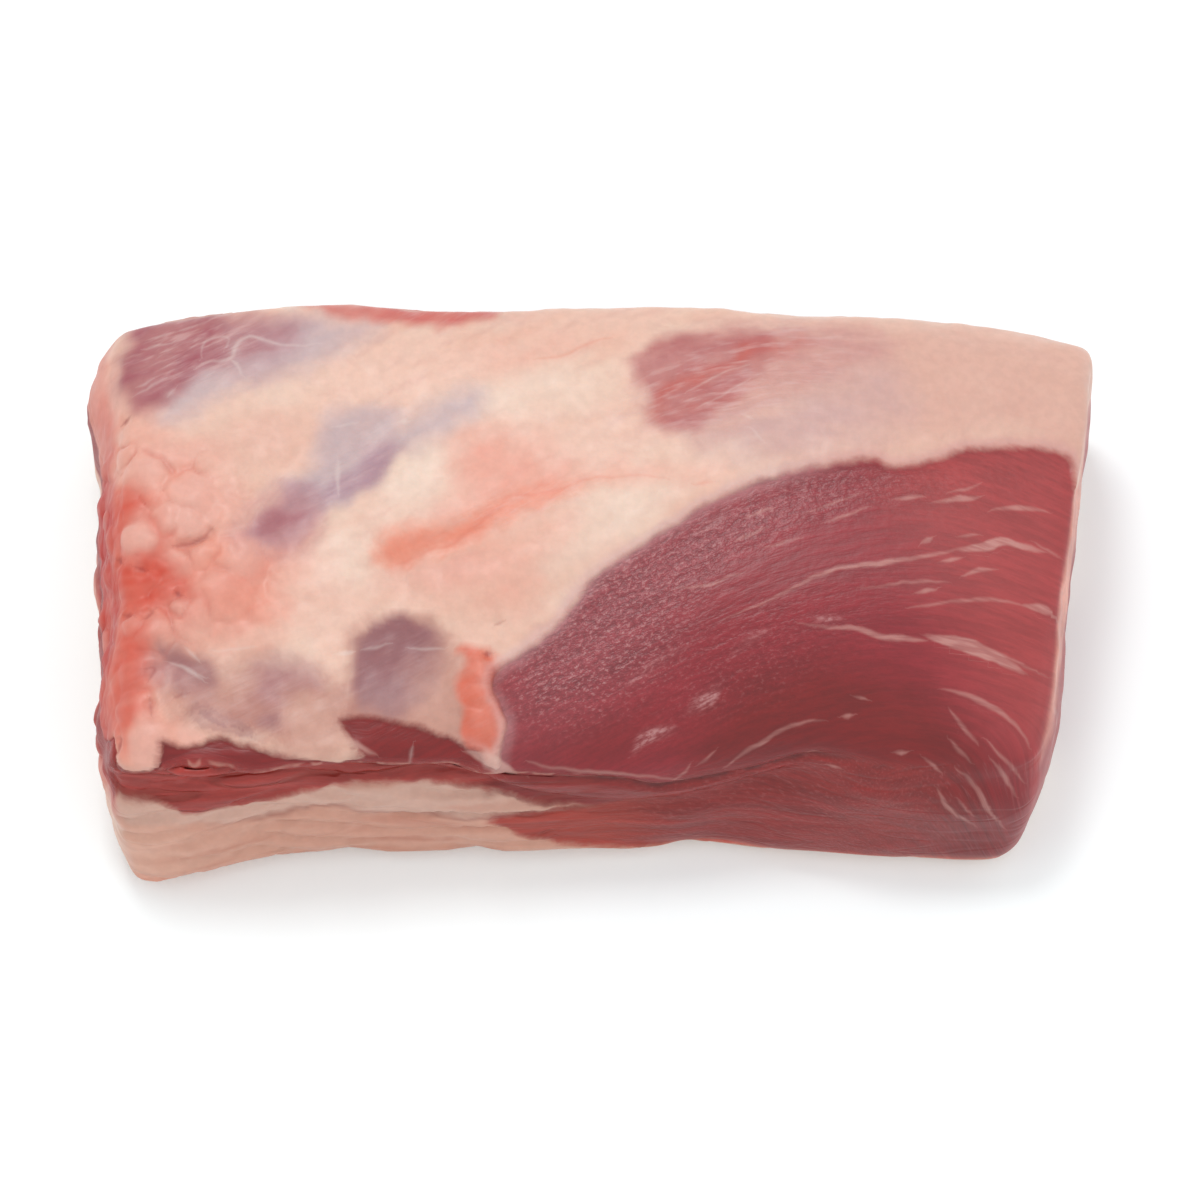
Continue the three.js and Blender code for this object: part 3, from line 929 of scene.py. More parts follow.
def puffHeights(settings):
    bent = places + broadSway * settings["cushionBend"] + fineSway
    small = settings["smallShare"]
    cushions = (1.0 - small) * cushion(bent, "cushions", settings["fullness"])
    cushions += small * cushion(bent, "smallCushions", settings["fullness"])
    nearest = np.full(len(places), settings["far"])
    second = np.full(len(places), settings["far"])
    paleness = np.zeros(len(places))
    lobulePlaces = places + middleSway + fineSway * settings["lobuleBend"]
    for x, y, radius, pale in scatterLobules(settings):
        apart = np.linalg.norm(lobulePlaces - ontoRibSide(x, y), axis=1) / radius
        closer = apart < nearest
        second = np.where(closer, nearest, np.minimum(second, apart))
        nearest = np.where(closer, apart, nearest)
        paleness[closer] = pale
    creases = fade(settings["creaseWidth"], second - nearest) * fade(settings["creaseReach"], nearest)
    creases *= fade(settings["creaseGaps"], ripple(places, "creaseGaps"))
    domes = np.clip(1.0 - settings["domeDrop"] * nearest * nearest, 0.0, None)
    domes *= 1.0 - settings["domeCrease"] * creases
    heights = np.maximum(cushions * settings["share"] * (1.0 - creases), domes)
    return heights, creases, paleness * fade(settings["paleReach"], nearest)


puffHeight, puffCrease, puffPale = puffHeights(puffs)
print("puffy fat is laid out")


# colours of the fat, painted in layers, the first one lowest

fatLayers = [  # each shape: soft edge, strength, then an outline, or a middle, half sizes and a turn
    ("paleCream", [
        (8, 0.8, [(-24, -24), (-8, -4), (10, 12), (34, 20), (48, 26), (30, 30), (0, 18), (-24, 2),
                  (-34, -14)]),
        (7, 0.5, (-94, 34), (22, 9), 20), (8, 0.5, (-16, 44), (22, 10), 10), (6, 0.6, (-52, 22), (8, 8), 30),
        (7, 0.5, (-84, -12), (9, 9), 0),
    ]),
    ("milk", [
        (6, 0.6, (-46, 23), (13, 8), 30), (6, 0.6, (-71, -4), (10, 9), 35), (7, 0.5, (-24, 47), (18, 8), 15),
        (6, 0.5, (-92, 42), (12, 5), 25), (6, 0.5, (2, 4), (22, 6), 36),
    ]),
    ("peach", [
        (9, 0.9, (-90, 32), (18, 9), 10), (10, 0.4, (-40, -16), (26, 9), 30),
        (6, 0.5, (-26, -22), (10, 5), 40), (5, 0.5, (-88, 26), (6, 4), 20),
    ]),
    ("beige", [
        (9, 0.9, [(58, 66), (100, 68), (150, 56), (150, 8), (122, 29), (95, 26), (74, 27), (62, 40)]),
        (9, 0.4, (-92, 31), (16, 8), 10),
    ]),
    ("blush", [
        (9, 0.85, [(-146, 32), (-121, 30), (-108, 26), (-100, 18), (-98, 7), (-90, 0), (-84, -4), (-82, -12),
                   (-86, -24), (-96, -28), (-108, -29), (-115, -36), (-115, -57), (-146, -58)]),
        (6, 0.6, (-86, 2), (9, 5), 40),
        (9, 0.9, [(-36, 31), (-20, 32), (-8, 20), (-21, 13), (-34, 13)]), (9, 0.4, (-82, -8), (12, 9), 0),
        (6, 0.4, (-21, -14), (8, 6), 40),
        (8, 0.6, [(-40, -3), (-19, 5), (-6, 7), (-13, -5), (-24, -13), (-40, -16)]),
        (8, 0.4, (-112, 72), (26, 6), -8), (5, 0.5, (16, 20), (20, 3), 0), (7, 0.4, (-16, 58), (16, 5), 15),
        (4, 0.95, (-138, 34), (7, 34), 0), (5, 0.35, (-124, 38), (8, 8), 0),
    ]),
    ("coral", [
        (6, 0.55, [(-146, 14), (-122, 12), (-112, -2), (-108, -14), (-113, -24), (-119, -28), (-119, -44),
                   (-120, -55), (-128, -57), (-146, -50)]),
        (4, 0.6, (-127.5, 12), (5, 5), 0), (5, 0.9, (-123, -11), (9, 9), 0),
        (3, 0.8, (-114.7, -14.5), (5, 3.6), 10), (4, 0.6, (-117, -8.5), (6, 3), 0),
        (4, 0.6, (-129, 3), (3, 6), 0), (4, 0.5, (-124.5, -38), (6, 18), 0),
        (8, 0.25, (-99, -13), (12, 9), 0), (3, 0.95, (-137, 4), (6, 42), 0),
        (3, 0.8, (-139, -44), (5, 20), 0),
    ]),
    ("orange", [
        (4, 0.9, [(-59, -1), (-55, 4), (-44, 6), (-32, 10), (-23, 15), (-9, 16), (-21, 9), (-30, 2),
                  (-44, -2), (-53, -6)]),
        (2.5, 0.5, (-52, -3), (5, 2.6), 15), (3, 0.5, (-33, 4), (7, 2.2), 35),
        (3, 0.4, (-14, 14), (18, 3), 15), (5, 0.4, (-117, -56), (8, 5), 0),
        (3, 0.6, (-112.5, 20.7), (4, 3), 0), (5, 0.5, (-102, -5), (6, 4), 20),
        (5, 0.5, (-93, -17), (8, 4), -10),
    ]),
    ("lobuleTop", [
        (2.2, 0.7, (-109, 14.8), (5.6, 5.2), 0), (2.2, 0.75, (-108, 6.2), (5.4, 4.6), 20),
        (2, 0.6, (-113.8, 7), (3.6, 4.2), 0), (3, 0.5, (-120.7, 20), (4.8, 4.4), 0),
        (6, 0.6, (-115, 25), (9, 5), 0), (2.4, 0.8, (-123, 0.7), (2.6, 5.4), 0),
        (4, 0.6, (-98, 12), (5, 5), 0), (4, 0.45, (-96, -6), (8, 3), 25), (4, 0.5, (-112, -3), (5, 3), 0),
        (2, 0.8, (-118.5, -57), (4.4, 7.5), 10), (4, 0.4, (-112, -24), (7, 3), 15),
        (4, 0.5, (-45, -9), (7, 4), 10), (4, 0.5, (-34, -8), (6, 4), 20), (3, 0.4, (-40, 10), (5, 3), 0),
    ]),
    ("lilac", [
        (5, 0.9, [(-113, 55), (-97, 61), (-86, 70), (-65, 70), (-60, 67), (-70, 59), (-78, 54), (-88, 51),
                  (-97, 48.5), (-105, 45), (-111, 40), (-118, 38), (-118, 45)]),
        (3.5, 0.95, [(-75, 35), (-71, 39.5), (-66, 42), (-60, 43), (-54.5, 41.5), (-53, 38), (-54.5, 27.5),
                     (-59.5, 19), (-64, 15), (-68, 12), (-77, 12), (-84, 15), (-83, 18.5), (-76.5, 24)]),
        (5.5, 0.95, [(-56, 33), (-49, 39), (-42, 44), (-33, 47), (-31, 40), (-40, 34), (-47, 30), (-53, 29)]),
    ]),
    ("blushMauve", [
        (4, 0.85, [(-97, 2), (-93, 11), (-86, 17), (-76, 16), (-73, 8), (-77, 1), (-85, -3), (-94, -2)]),
    ]),
    ("greyMauve", [
        (4, 0.85, [(-106, 71), (-86, 70), (-80, 67), (-82, 61), (-87, 54), (-97, 52), (-106, 53.5),
                   (-113, 50), (-117.5, 44.5), (-118.5, 50), (-110, 58), (-105.5, 63)]),
    ]),
    ("smear", [
        (5, 0.95, [(-118, -30), (-108, -30), (-100, -36), (-91, -33), (-82, -33), (-71, -39), (-66, -46),
                   (-68, -54), (-80, -58), (-91, -55), (-98, -54), (-105, -50), (-111, -49), (-115, -42)]),
        (3, 0.9, [(-65, -26), (-58, -21), (-48, -20), (-40, -26), (-36, -33), (-33, -46), (-33, -55),
                  (-44, -54), (-52, -52), (-67, -52), (-66, -38)]),
    ]),
    ("mauve", [
        (1.8, 0.45, [(-62, 31), (-55.5, 31), (-54.5, 28), (-56.5, 23), (-59.5, 19.5), (-63.5, 16),
                     (-70.5, 14.5), (-72, 18.5), (-68, 21), (-65, 25)]),
        (3, 0.65, (-59.5, 23.5), (8, 3.4), 57), (3, 0.4, (-66, 17), (5, 3), 20),
        (2.8, 0.45, [(-83, 18), (-75.5, 20), (-71, 18.5), (-71, 13), (-75, 9.5), (-78.5, 5.5), (-83, 1.5),
                     (-90, 0), (-95, 1), (-92, 7), (-87, 12)]),
        (4, 0.4, (-112, -38), (8, 4), -30),
        (3.5, 0.3, [(-91, -35), (-87, -31.5), (-79, -32.5), (-73, -37), (-72.5, -40.5), (-79.5, -40.5),
                    (-83, -45), (-90, -45), (-91.5, -40)]),
    ]),
    ("dusk", [
        (2.4, 0.95, [(-64, -29), (-60, -23.5), (-54.5, -20.5), (-48, -21), (-42, -25), (-39.5, -31),
                     (-41, -39), (-45, -46), (-51, -49), (-58, -48.5), (-63, -44), (-64.5, -36)]),
        (2.2, 0.7, [(-117, -30), (-113.5, -29.5), (-108, -31.5), (-104, -34), (-101.5, -39), (-102.5, -42),
                    (-107.5, -39), (-113.5, -34.5)]),
        (2, 0.75, [(-107, -47.5), (-102, -47.5), (-98, -50.5), (-94, -52), (-91.5, -54.5), (-95.5, -54),
                   (-101, -52.5), (-105, -50.5)]),
        (1.6, 0.6, (-86, -50.6), (3.2, 2.6), 0),
    ]),
    ("lilac", [(4, 0.2, (-55, -43), (8, 4), 0)]),
    ("smearPale", [(6, 0.6, (-40, -43), (8, 13), -10), (5, 0.3, (-52, -49), (12, 4), 0)]),
    ("muscle", [
        (5, 0.5, [(-108, 74), (-95, 73), (-84, 67), (-86, 62.5), (-94, 61), (-106, 58)]),
        (3.4, 0.9, [(-130.5, 61.5), (-128.5, 70), (-121.5, 80), (-110, 80), (-105, 71), (-103, 64),
                    (-102, 60), (-105, 56), (-110, 52), (-115, 47), (-120, 42), (-126, 40), (-130.5, 48.5),
                    (-132, 56.5)]),
        (2.4, 0.6, [(-89, 10.5), (-84.5, 11), (-79.5, 9.5), (-81.5, 6.5), (-84.5, 4.5), (-88.5, 2.5),
                    (-91.5, 2), (-91.5, 5)]),
        (1.4, 0.5, [(-97.5, 61), (-95, 64), (-92, 62), (-87.5, 61), (-88, 59.5), (-93.5, 59), (-97.5, 58)]),
    ]),
    ("windowPink", [
        (5, 0.9, [(14, 50), (20, 60), (34, 66), (56, 68), (76, 66), (84, 56), (70, 48), (56, 42), (42, 34),
                  (28, 30), (18, 36)]),
    ]),
    ("windowHaze", [
        (7, 0.85, [(28, 30), (40, 35), (54, 42), (66, 47), (80, 52), (88, 44), (86, 34), (69, 27), (55, 22),
                   (41, 24)]),
    ]),
    ("window", [
        (2.6, 0.85, [(12, 54), (14, 58), (19, 62), (25, 63), (32, 64), (41, 64), (50, 64), (50, 56), (43, 47),
                     (36, 40), (31.5, 33), (25, 32), (20.5, 33.5), (17, 36), (16, 41), (15, 46), (12, 50)]),
    ]),
    ("windowRed", [
        (2.6, 0.85, [(17, 40), (20, 46), (24.5, 49), (30, 51.5), (36.5, 54), (41, 59), (45, 59), (43.5, 54.5),
                     (36.5, 50), (30, 47), (23.5, 44), (18.5, 38)]),
        (3, 0.5, (51, 59), (8, 3), 12), (2.5, 0.4, (30, 40), (12, 1.6), 24),
    ]),
    ("backRed", [
        (2.5, 0.95, [(-80, 84), (-78, 73), (-66, 70.5), (-52, 68.5), (-40, 67.5), (-28, 71), (-24, 84)]),
    ]),
    ("smearPale", [
        (3, 0.8, [(-81.5, -44), (-72, -42.5), (-69, -47), (-69, -53.5), (-67, -59), (-78.5, -60),
                  (-82, -53.5)]),
        (3, 0.5, (-96, -40), (6, 4), 30),
    ]),
    ("lobuleTop", [
        (1.8, 0.8, [(-113, -53), (-109, -52), (-103.5, -54), (-105, -56), (-107.5, -57.5), (-112, -56)]),
    ]),
    ("knob", [
        (1.6, 1.0, [(-36, -31), (-31, -29.5), (-25, -31.5), (-25.6, -41), (-23, -49), (-26, -56),
                    (-32, -56.5), (-36, -52), (-34.5, -47), (-36, -41), (-34.5, -36)]),
    ]),
]
fatLook = {  # spans in mm or in a pattern's own 0 to 1, then strengths
    "clouds": ((0.45, 0.75), 0.7),
    "flows": ((0.5, 0.8), 0.7),
    "threads": ((0.55, 0.8), 0.45),
    "streaky": 0.3,
    "windowStreaky": 0.7,
    "leftLayers": ("blush", "coral"),  # these run on over the left end
    "leftFlow": (0.75, 0.5),
    "otherClouds": (0.8, 0.4),
    "frontFat": 0.9,
    "layers": ((0.5, 0.75), 0.6),
    "layersBehind": 0.6,
    "leftPeach": ((-95.0, -125.0), (36.0, 20.0), 0.6),  # x, z
    "leftFoot": ((-60.0, -130.0), (10.0, 4.0), 0.6),  # x, z
    "seamEdge": (-0.8, 0.8),
    "seam": 0.95,
    "seamLayers": ((0.45, 0.8), 0.4),
    # painted shade along the foot of the pale seam
    "seamLine": (0.7, (-115.0, -90.0), 0.45),  # half width, x
    "nearLean": (-40.0, -20.0),  # x
    "fringe": (-1.6, 1.2, 0.6),  # middle and half width
    "blushFringe": ((-5.0, -0.5), (50.0, 75.0), 0.5),  # depth, x
    "leftRed": ((24.0, 40.0), 0.95),  # z
    "leftBlush": ((20.0, 40.0), 0.8),  # y
    "palePuffs": 0.55,
    "puffCreases": (0.12, 0.0),
    "creaseRed": 0.06,
    "leftCreaseRed": ((-92.0, -116.0), 0.28),  # x
}


def paintRibFat(tints, look, cloud, flow, threads):
    for name, shapes in fatLayers:
        streaky = look["windowStreaky"] if name.startswith("window") else look["streaky"]
        share = paintShapes(swayX, swayY, shapes) * (1.0 + streaky * (threads - 0.5))
        if name in look["leftLayers"]:
            least, more = look["leftFlow"]
            share = share * (onRibs + leftTop) * (least + more * flow)
        else:
            least, more = look["otherClouds"]
            share = share * overEdge * (least + more * cloud)
        tints = layOver(tints, np.clip(share, 0.0, 1.0), name)
    return tints


def paintSideFat(tints, look):
    x, z = (places + fineSway).T[[0, 2]]
    front = shares["front"]
    layers = ripple(places + fineSway, "fatLayers")
    seamFoot = alongX(leanMuscle["seamFoot"], x)
    seam = np.minimum(alongX(leanMuscle["bandFoot"], x) - z, z - seamFoot)
    tints = layOver(tints, front * look["frontFat"], "frontFat")
    layered = front + look["layersBehind"] * (shares["back"] + shares["left"])
    span, strength = look["layers"]
    tints = layOver(tints, layered * fade(span, layers) * strength, "frontTan")
    for setting, name in (("leftPeach", "peach"), ("leftFoot", "orange")):
        spanX, spanZ, strength = look[setting]
        tints = layOver(tints, front * fade(spanX, x) * fade(spanZ, z) * strength, name)
    span, strength = look["seamLayers"]
    seamShare = look["seam"] - strength * fade(span, layers)
    tints = layOver(tints, front * fade(look["seamEdge"], seam) * seamShare, "frontSeam")
    # painted shade in the crease along the foot of the pale seam
    halfWidth, spanX, strength = look["seamLine"]
    seamLine = bell(z, seamFoot, halfWidth) * fade(spanX, x)
    return layOver(tints, front * seamLine * strength, "foldShade")


def fatTints(look):
    cloud = ripple(places, "cloud")
    flow = ripple(fatFlow, "flow")
    threads = ripple(fatFlow + fineSway, "threads")
    tints = coatAll("cream")
    for pattern, setting, name in (
        (cloud, "clouds", "paleCream"), (flow, "flows", "peach"), (threads, "threads", "beige"),
    ):
        span, strength = look[setting]
        tints = layOver(tints, fade(span, pattern) * strength, name)
    tints = paintRibFat(tints, look, cloud, flow, threads)
    tints = paintSideFat(tints, look)

    x, y, z = (places + fineSway).T
    atLean = onRibs * fade(look["nearLean"], x)
    middle, halfWidth, strength = look["fringe"]
    tints = layOver(tints, bell(lean, middle, halfWidth) * atLean * strength, "fringe")
    depth, spanX, strength = look["blushFringe"]
    tints = layOver(tints, fade(depth, lean) * atLean * fade(spanX, x) * strength, "blushFringe")
    spanZ, strength = look["leftRed"]
    upperLeft = shares["left"] * fade(spanZ, z)
    tints = layOver(tints, upperLeft * strength, "leftRed")
    spanY, strength = look["leftBlush"]
    tints = layOver(tints, upperLeft * fade(spanY, y) * strength, "blush")
    tints = layOver(tints, lobuleZone * puffPale * look["palePuffs"], "lobuleTop")
    # red between the lobules, partly painted shade, laid in the creases and in the low hollows of the puffs
    spanX, strength = look["leftCreaseRed"]
    redder = look["creaseRed"] + strength * fade(spanX, x)
    creases = np.maximum(puffCrease, fade(look["puffCreases"], puffHeight))
    return layOver(tints, lobuleZone * creases * redder, "creaseRedAndShade")


keepTint(meat, "fatTint", fatTints(fatLook))
print("the fat is coloured")


# colours of the lean

leanShapes = {
    # the pebbly lean: its own tone with a painted sheen
    "pebblyLeanAndSheen": [(14, 1.0, (0, -26), (30, 14), 40), (10, 0.8, (34, 2), (36, 8), 24)],
    "leanRight": [(16, 1.0, [(84, 30), (150, 30), (150, -60), (116, -56), (100, -30)])],
    "leanDark": [
        (9, 0.95, [(26, -56), (40, -40), (60, -34), (80, -36), (98, -46), (104, -60), (80, -62), (52, -60),
                   (34, -62)]),
        (9, 0.85, (98, -67), (24, 11), -20), (7, 0.5, (4, -54), (18, 6), 15),
    ],
}
leanLook = {  # spans in mm, then strengths
    "rim": ((4.0, -0.5), (75.0, 50.0), 0.8),  # depth, x
    "left": (-20.0, -32.0),  # x
    "flank": (110.0, 80.0),  # x
    "wedge": ((-1.0, 1.0), (30.0, 0.0)),  # height under the seam, x
    "sideBand": 0.7,
    "veilAndHighlight": (37.0, 48.0),  # z
    "veilStreaks": (0.6, 0.5),
    "foot": ((9.0, 4.0), (-25.0, -5.0), 0.85),  # z, x
    "streaks": (0.88, 0.24),
    "frontLayers": 0.5,
}


def leanTints(look):
    x, z = placeX, placeZ
    front = shares["front"]
    streaks = ripple(grain, "leanStreaks")
    tints = coatAll("leanMid")
    for name, shapes in leanShapes.items():
        tints = layOver(tints, paintShapes(swayX, swayY, shapes), name)
    depth, spanX, strength = look["rim"]
    tints = layOver(tints, onRibs * fade(depth, lean) * fade(spanX, x) * strength, "leanRim")
    left = fade(look["left"], x)
    tints = layOver(tints, onRibs * left, "leanStrip")
    tints = layOver(tints, front * fade(look["flank"], x), "leanFlank")
    tints = layOver(tints, front * left, "leanBand")
    underSeam, spanX = look["wedge"]
    wedge = fade(underSeam, alongX(leanMuscle["seamFoot"], x) - z) * fade(spanX, x)
    tints = layOver(tints, front * wedge, "leanWedge")
    tints = layOver(tints, (shares["back"] + shares["left"]) * look["sideBand"], "leanBand")
    tints = layOver(tints, shares["right"], "leanRight")
    # a pale veil over the right end's upper rim, partly membrane, partly painted highlight
    least, more = look["veilStreaks"]
    veilAndHighlight = fade(look["veilAndHighlight"], z + sideSway[:, 2]) * (least + more * streaks)
    tints = layOver(tints, shares["right"] * veilAndHighlight, "endVeilAndHighlight")
    spanZ, spanX, strength = look["foot"]
    tints = layOver(tints, front * fade(spanZ, z) * fade(spanX, x) * strength, "footRed")
    least, more = look["streaks"]
    layers = ripple(grain, "leanLayers") - 0.5
    return tints * (least + more * streaks + look["frontLayers"] * layers * front)[:, None]


keepTint(meat, "leanTint", leanTints(leanLook))
print("the lean is coloured")


# relief: lumps of fat, folds and wrinkles

reliefHeights = {  # mm
    "fatSwell": 1.0,
    "fatRidge": 0.5,
    "fatDimple": 0.4,
    "puffs": 1.5,
    "cracks": -0.6,
    "lipCrease": -1.6,
    "leanWrinkle": 0.3,
    "lipRagged": 1.8,
    "bandFold": 1.3,
    "fatWrinkle": 1.5,
    "endLump": 1.6,
    "endTatter": 1.4,
}
reliefZones = {
    "offBottom": (2.0, 7.0),  # z
    "crackReach": 3.0,
    "crackEdge": (2.0, 0.0),
    "lipCrease": (-1.8, 1.4),  # middle and half width
    "pebblyWrinkles": (0.12, 0.88),  # everywhere, and added where it is pebbly
    "lipWidth": 3.0,
    "lipFade": (20.0, -20.0),  # x
    "leftFolds": (0.2, 0.8),  # everywhere, and added on the left
    "rightLumps": 0.6,
    "backLumps": 0.4,
    "tatterFrom": (20.0, 34.0),  # z
}


def crackGrooves(zones):
    grooves = np.zeros(len(places))
    for routes in lineRoutes["cracks"]:
        side, half = strandLines(routes, zones["crackReach"], lineSettings)
        grooves = np.maximum(grooves, fade(zones["crackEdge"], np.abs(side) - half) * (half > 0.0))
    return grooves


def reliefWeights(zones):
    offBottom = fade(zones["offBottom"], placeZ)
    ribFat = isFat * onRibs
    wrinkly, morePebbly = zones["pebblyWrinkles"]
    folds, moreLeft = zones["leftFolds"]
    lip = bell(lipGap, 0.0, zones["lipWidth"]) * frontFacing * fade(zones["lipFade"], placeX)
    bandFold = creased(places + fineSway, "bandFold") * shares["front"] * isLean
    leanWrinkle = creased(grain + fineSway, "leanWrinkle") * isLean * onRibs
    fatWrinkle = creased(places + fineSway, "fatWrinkle") * isFat * (shares["front"] + shares["back"])
    ends = shares["left"] + zones["rightLumps"] * shares["right"] + zones["backLumps"] * shares["back"]
    tatter = ripple(places, "endTatter") * offBottom * shares["left"]
    return {
        "fatSwell": ribFat * ripple(places, "fatSwell"),
        "fatRidge": ribFat * ripple(fatFlow, "fatRidge"),
        "fatDimple": ribFat * ripple(places, "fatDimple"),
        "puffs": puffHeight * lobuleZone * isFat,
        "cracks": crackGrooves(zones),
        "lipCrease": bell(lipGap, *zones["lipCrease"]) * lipCrease,
        "leanWrinkle": leanWrinkle * (wrinkly + morePebbly * pebble),
        "lipRagged": lip * ripple(places, "lipRagged"),
        "bandFold": bandFold * (folds + moreLeft * leftSide),
        "fatWrinkle": fatWrinkle * offBottom,
        "endLump": ripple(places, "endLump") * offBottom * ends,
        "endTatter": tatter * fade(zones["tatterFrom"], placeZ),
    }


for reliefName, weights in reliefWeights(reliefZones).items():
    pushMeat(meat, reliefName, weights, reliefHeights[reliefName])
print("relief is raised")


# the raw pork finish

porkGrain = {
    "fibres": (0.09, 0.6, 0.0),  # waves to the millimetre, along and across the grain
    "crinkles": (0.55, 0.95, 0.0),
    "fatStreaks": (0.10, 0.50, 0.10),
    "folds": (24.0, 24.0, 130.0),  # waves to the metre
    "fine": 0.003,  # m
}
porkFinish = {  # from where to where in a pattern or in mm, and what that gives
    "foldWidth": (0.04, 0.0),
    # painted shade in the fold lines
    "foldShade": (0.0, 1.0, 0.0, 0.4),
    "fatShade": (0.3, 0.7, 0.965, 1.035),
    "fatStreak": (0.46, 0.75, 0.0, 0.45),
    "fibreShade": (0.3, 0.7, 0.91, 1.09),
    "pebbles": (0.3, 0.62),
    # painted shade in the crinkles' hollows, deeper where the lean is pebbly, and painted light on their tops
    "pebbleHollowShade": (0.0, 1.0, 0.98, 0.78),
    "pebbleTopLight": 1.03,
    # painted glints: a pale tint on the crinkles' tops, and where on the lean they show
    "paintedGlints": (0.56, 0.74, 0.0, 0.55),
    "paintedGlintZone": (0.2, 0.9),
    "wobble": 1.6,  # mm
    "veinSoft": 0.5,
    "veinShare": 0.75,
    "veinFibres": (0.35, 0.65, 0.55, 1.0),
    "smearSoft": 1.3,
    "smearFibres": (0.38, 0.62, 0.2, 1.0),
    "smearCrinkles": (0.35, 0.6, 0.3, 0.8),
    "flecks": (0.6, 0.72, 0.0, 0.5),
    "leanEdge": (-1.8, 1.0),
    "clearLines": (0.2, 1.3, 0.5, 1.0),  # wide lines show clearly, thin ones only faintly
    "lines": {  # soft edge, strength and colour
        "capillaries": (0.8, 0.5, "capillary"),
        "sinewAndGlint": (0.6, 0.5, "sinewAndGlint"),
        "membranes": (0.7, 0.55, "membrane"),
        "cracks": (0.7, 0.7, "crack"),
    },
    "rim": (0.4, 0.05),
    "rimGaps": (0.44, 0.6, 0.0, 0.4),
    # the painted shadow under the lip: how far below the lip it lies, its width, and the gaps in it
    "creaseBelow": 1.7,
    "lipShadow": (1.4, 0.2),
    "creaseGaps": (0.35, 0.6, 0.35, 0.8),
    "fibreDepth": (0.0, 1.0, 0.3, 0.0),  # along the grain, cut across
    "pebbleDepth": (0.0, 1.0, 0.1, 0.85),
    "wrinkleDepth": (0.0, 1.0, 0.12, 0.9),
    "mottleDepth": 0.6,
    "foldDepth": 0.9,
    "bump": 0.7,
    "bumpDepth": 0.6,  # mm
    "fatRoughness": (0.3, 0.7, 0.40, 0.52),
    "leanRoughness": (0.0, 1.0, 0.40, 0.33),
    "subsurface": 0.12,
    "subsurfaceRadius": (1.0, 0.4, 0.25),
    "subsurfaceScale": 0.002,
}


def feed(tree, socket, value):
    if isinstance(value, bpy.types.NodeSocket):
        tree.links.new(value, socket)
    else:
        socket.default_value = value


def put(tree, kind, sockets, **settings):
    made = tree.nodes.new("ShaderNode" + kind)
    for key, value in settings.items():
        setattr(made, key, value)
    for name, value in sockets.items():
        feed(tree, made.inputs[name], value)
    return made


def calc(tree, operation, first, second=0.0):
    return put(tree, "Math", {0: first, 1: second}, operation=operation).outputs[0]


def times(tree, first, second):
    return calc(tree, "MULTIPLY", first, second)


def between(tree, value, low, high, start=0.0, end=1.0):
    sockets = {"Value": value, "From Min": low, "From Max": high, "To Min": start, "To Max": end}
    return put(tree, "MapRange", sockets, interpolation_type="SMOOTHSTEP").outputs[0]


def blend(tree, share, under, over):
    return put(tree, "Mix", {0: share, 2: under, 3: over}, data_type="FLOAT").outputs[0]


def tint(tree, share, under, over):
    return put(tree, "Mix", {0: share, 6: under, 7: over}, data_type="RGBA").outputs[2]


def shade(tree, colour, amount):
    return put(tree, "VectorMath", {0: colour, "Scale": amount}, operation="SCALE").outputs[0]


def painted(tree, name, output="Fac"):
    return put(tree, "Attribute", {}, attribute_name=name).outputs[output]


def speckle(tree, vector, size=1.0, detail=2.0, roughness=0.6, dimensions="3D"):
    sockets = {"Vector": vector, "Scale": 1.0 / size, "Detail": detail, "Roughness": roughness}
    return put(tree, "TexNoise", sockets, noise_dimensions=dimensions).outputs[0]


def stretched(tree, vector, scale):
    return put(tree, "VectorMath", {0: vector, 1: scale}, operation="MULTIPLY").outputs[0]


def strandMask(tree, name, wobble, soft):
    mask = 0.0
    for number in range(len(lineRoutes[name])):
        side = calc(tree, "ADD", painted(tree, layerName(name, "Side", number)), wobble)
        half = painted(tree, layerName(name, "Half", number))
        inside = between(tree, calc(tree, "SUBTRACT", half, calc(tree, "ABSOLUTE", side)), -soft, soft)
        clear = times(tree, inside, between(tree, half, *porkFinish["clearLines"]))
        mask = calc(tree, "MAXIMUM", clear, mask)
    return mask


def meatPatterns(tree, grains, finish):
    # every painted layer and noise that more than one part of the finish reads
    coords = put(tree, "TexCoord", {}).outputs["Object"]
    along = painted(tree, "grain", "Vector")
    fatAlong = painted(tree, "fatFlow", "Vector")
    seen = {name: painted(tree, name) for name in ("mottled", "pebble", "endCut", "wrinkly")}
    seen["fine"] = speckle(tree, coords, grains["fine"])
    seen["longFibre"] = speckle(tree, stretched(tree, along, grains["fibres"]), dimensions="2D")
    seen["crinkle"] = speckle(tree, stretched(tree, along, grains["crinkles"]), dimensions="2D")
    seen["fibre"] = blend(tree, seen["endCut"], seen["longFibre"], seen["fine"])
    seen["fatStreaks"] = speckle(tree, stretched(tree, fatAlong, grains["fatStreaks"]), roughness=0.55)
    folds = speckle(tree, stretched(tree, coords, grains["folds"]), detail=1.0, roughness=0.5)
    foldLine = calc(tree, "ABSOLUTE", calc(tree, "SUBTRACT", folds, 0.5))
    seen["foldLine"] = times(tree, between(tree, foldLine, *finish["foldWidth"]), painted(tree, "folded"))
    seen["wobble"] = times(tree, calc(tree, "SUBTRACT", seen["mottled"], 0.5), finish["wobble"])
    edgeWobble = calc(tree, "SUBTRACT", seen["crinkle"], 0.5)
    edge = calc(tree, "ADD", painted(tree, "lean"), edgeWobble)
    seen["isLean"] = between(tree, edge, *finish["leanEdge"])
    return seen


def fatColour(tree, seen, finish):
    fat = painted(tree, "fatTint", "Color")
    fat = shade(tree, fat, between(tree, seen["fine"], *finish["fatShade"]))
    streak = times(tree, between(tree, seen["fatStreaks"], *finish["fatStreak"]), seen["wrinkly"])
    return tint(tree, streak, fat, asAlbedo("streak"))


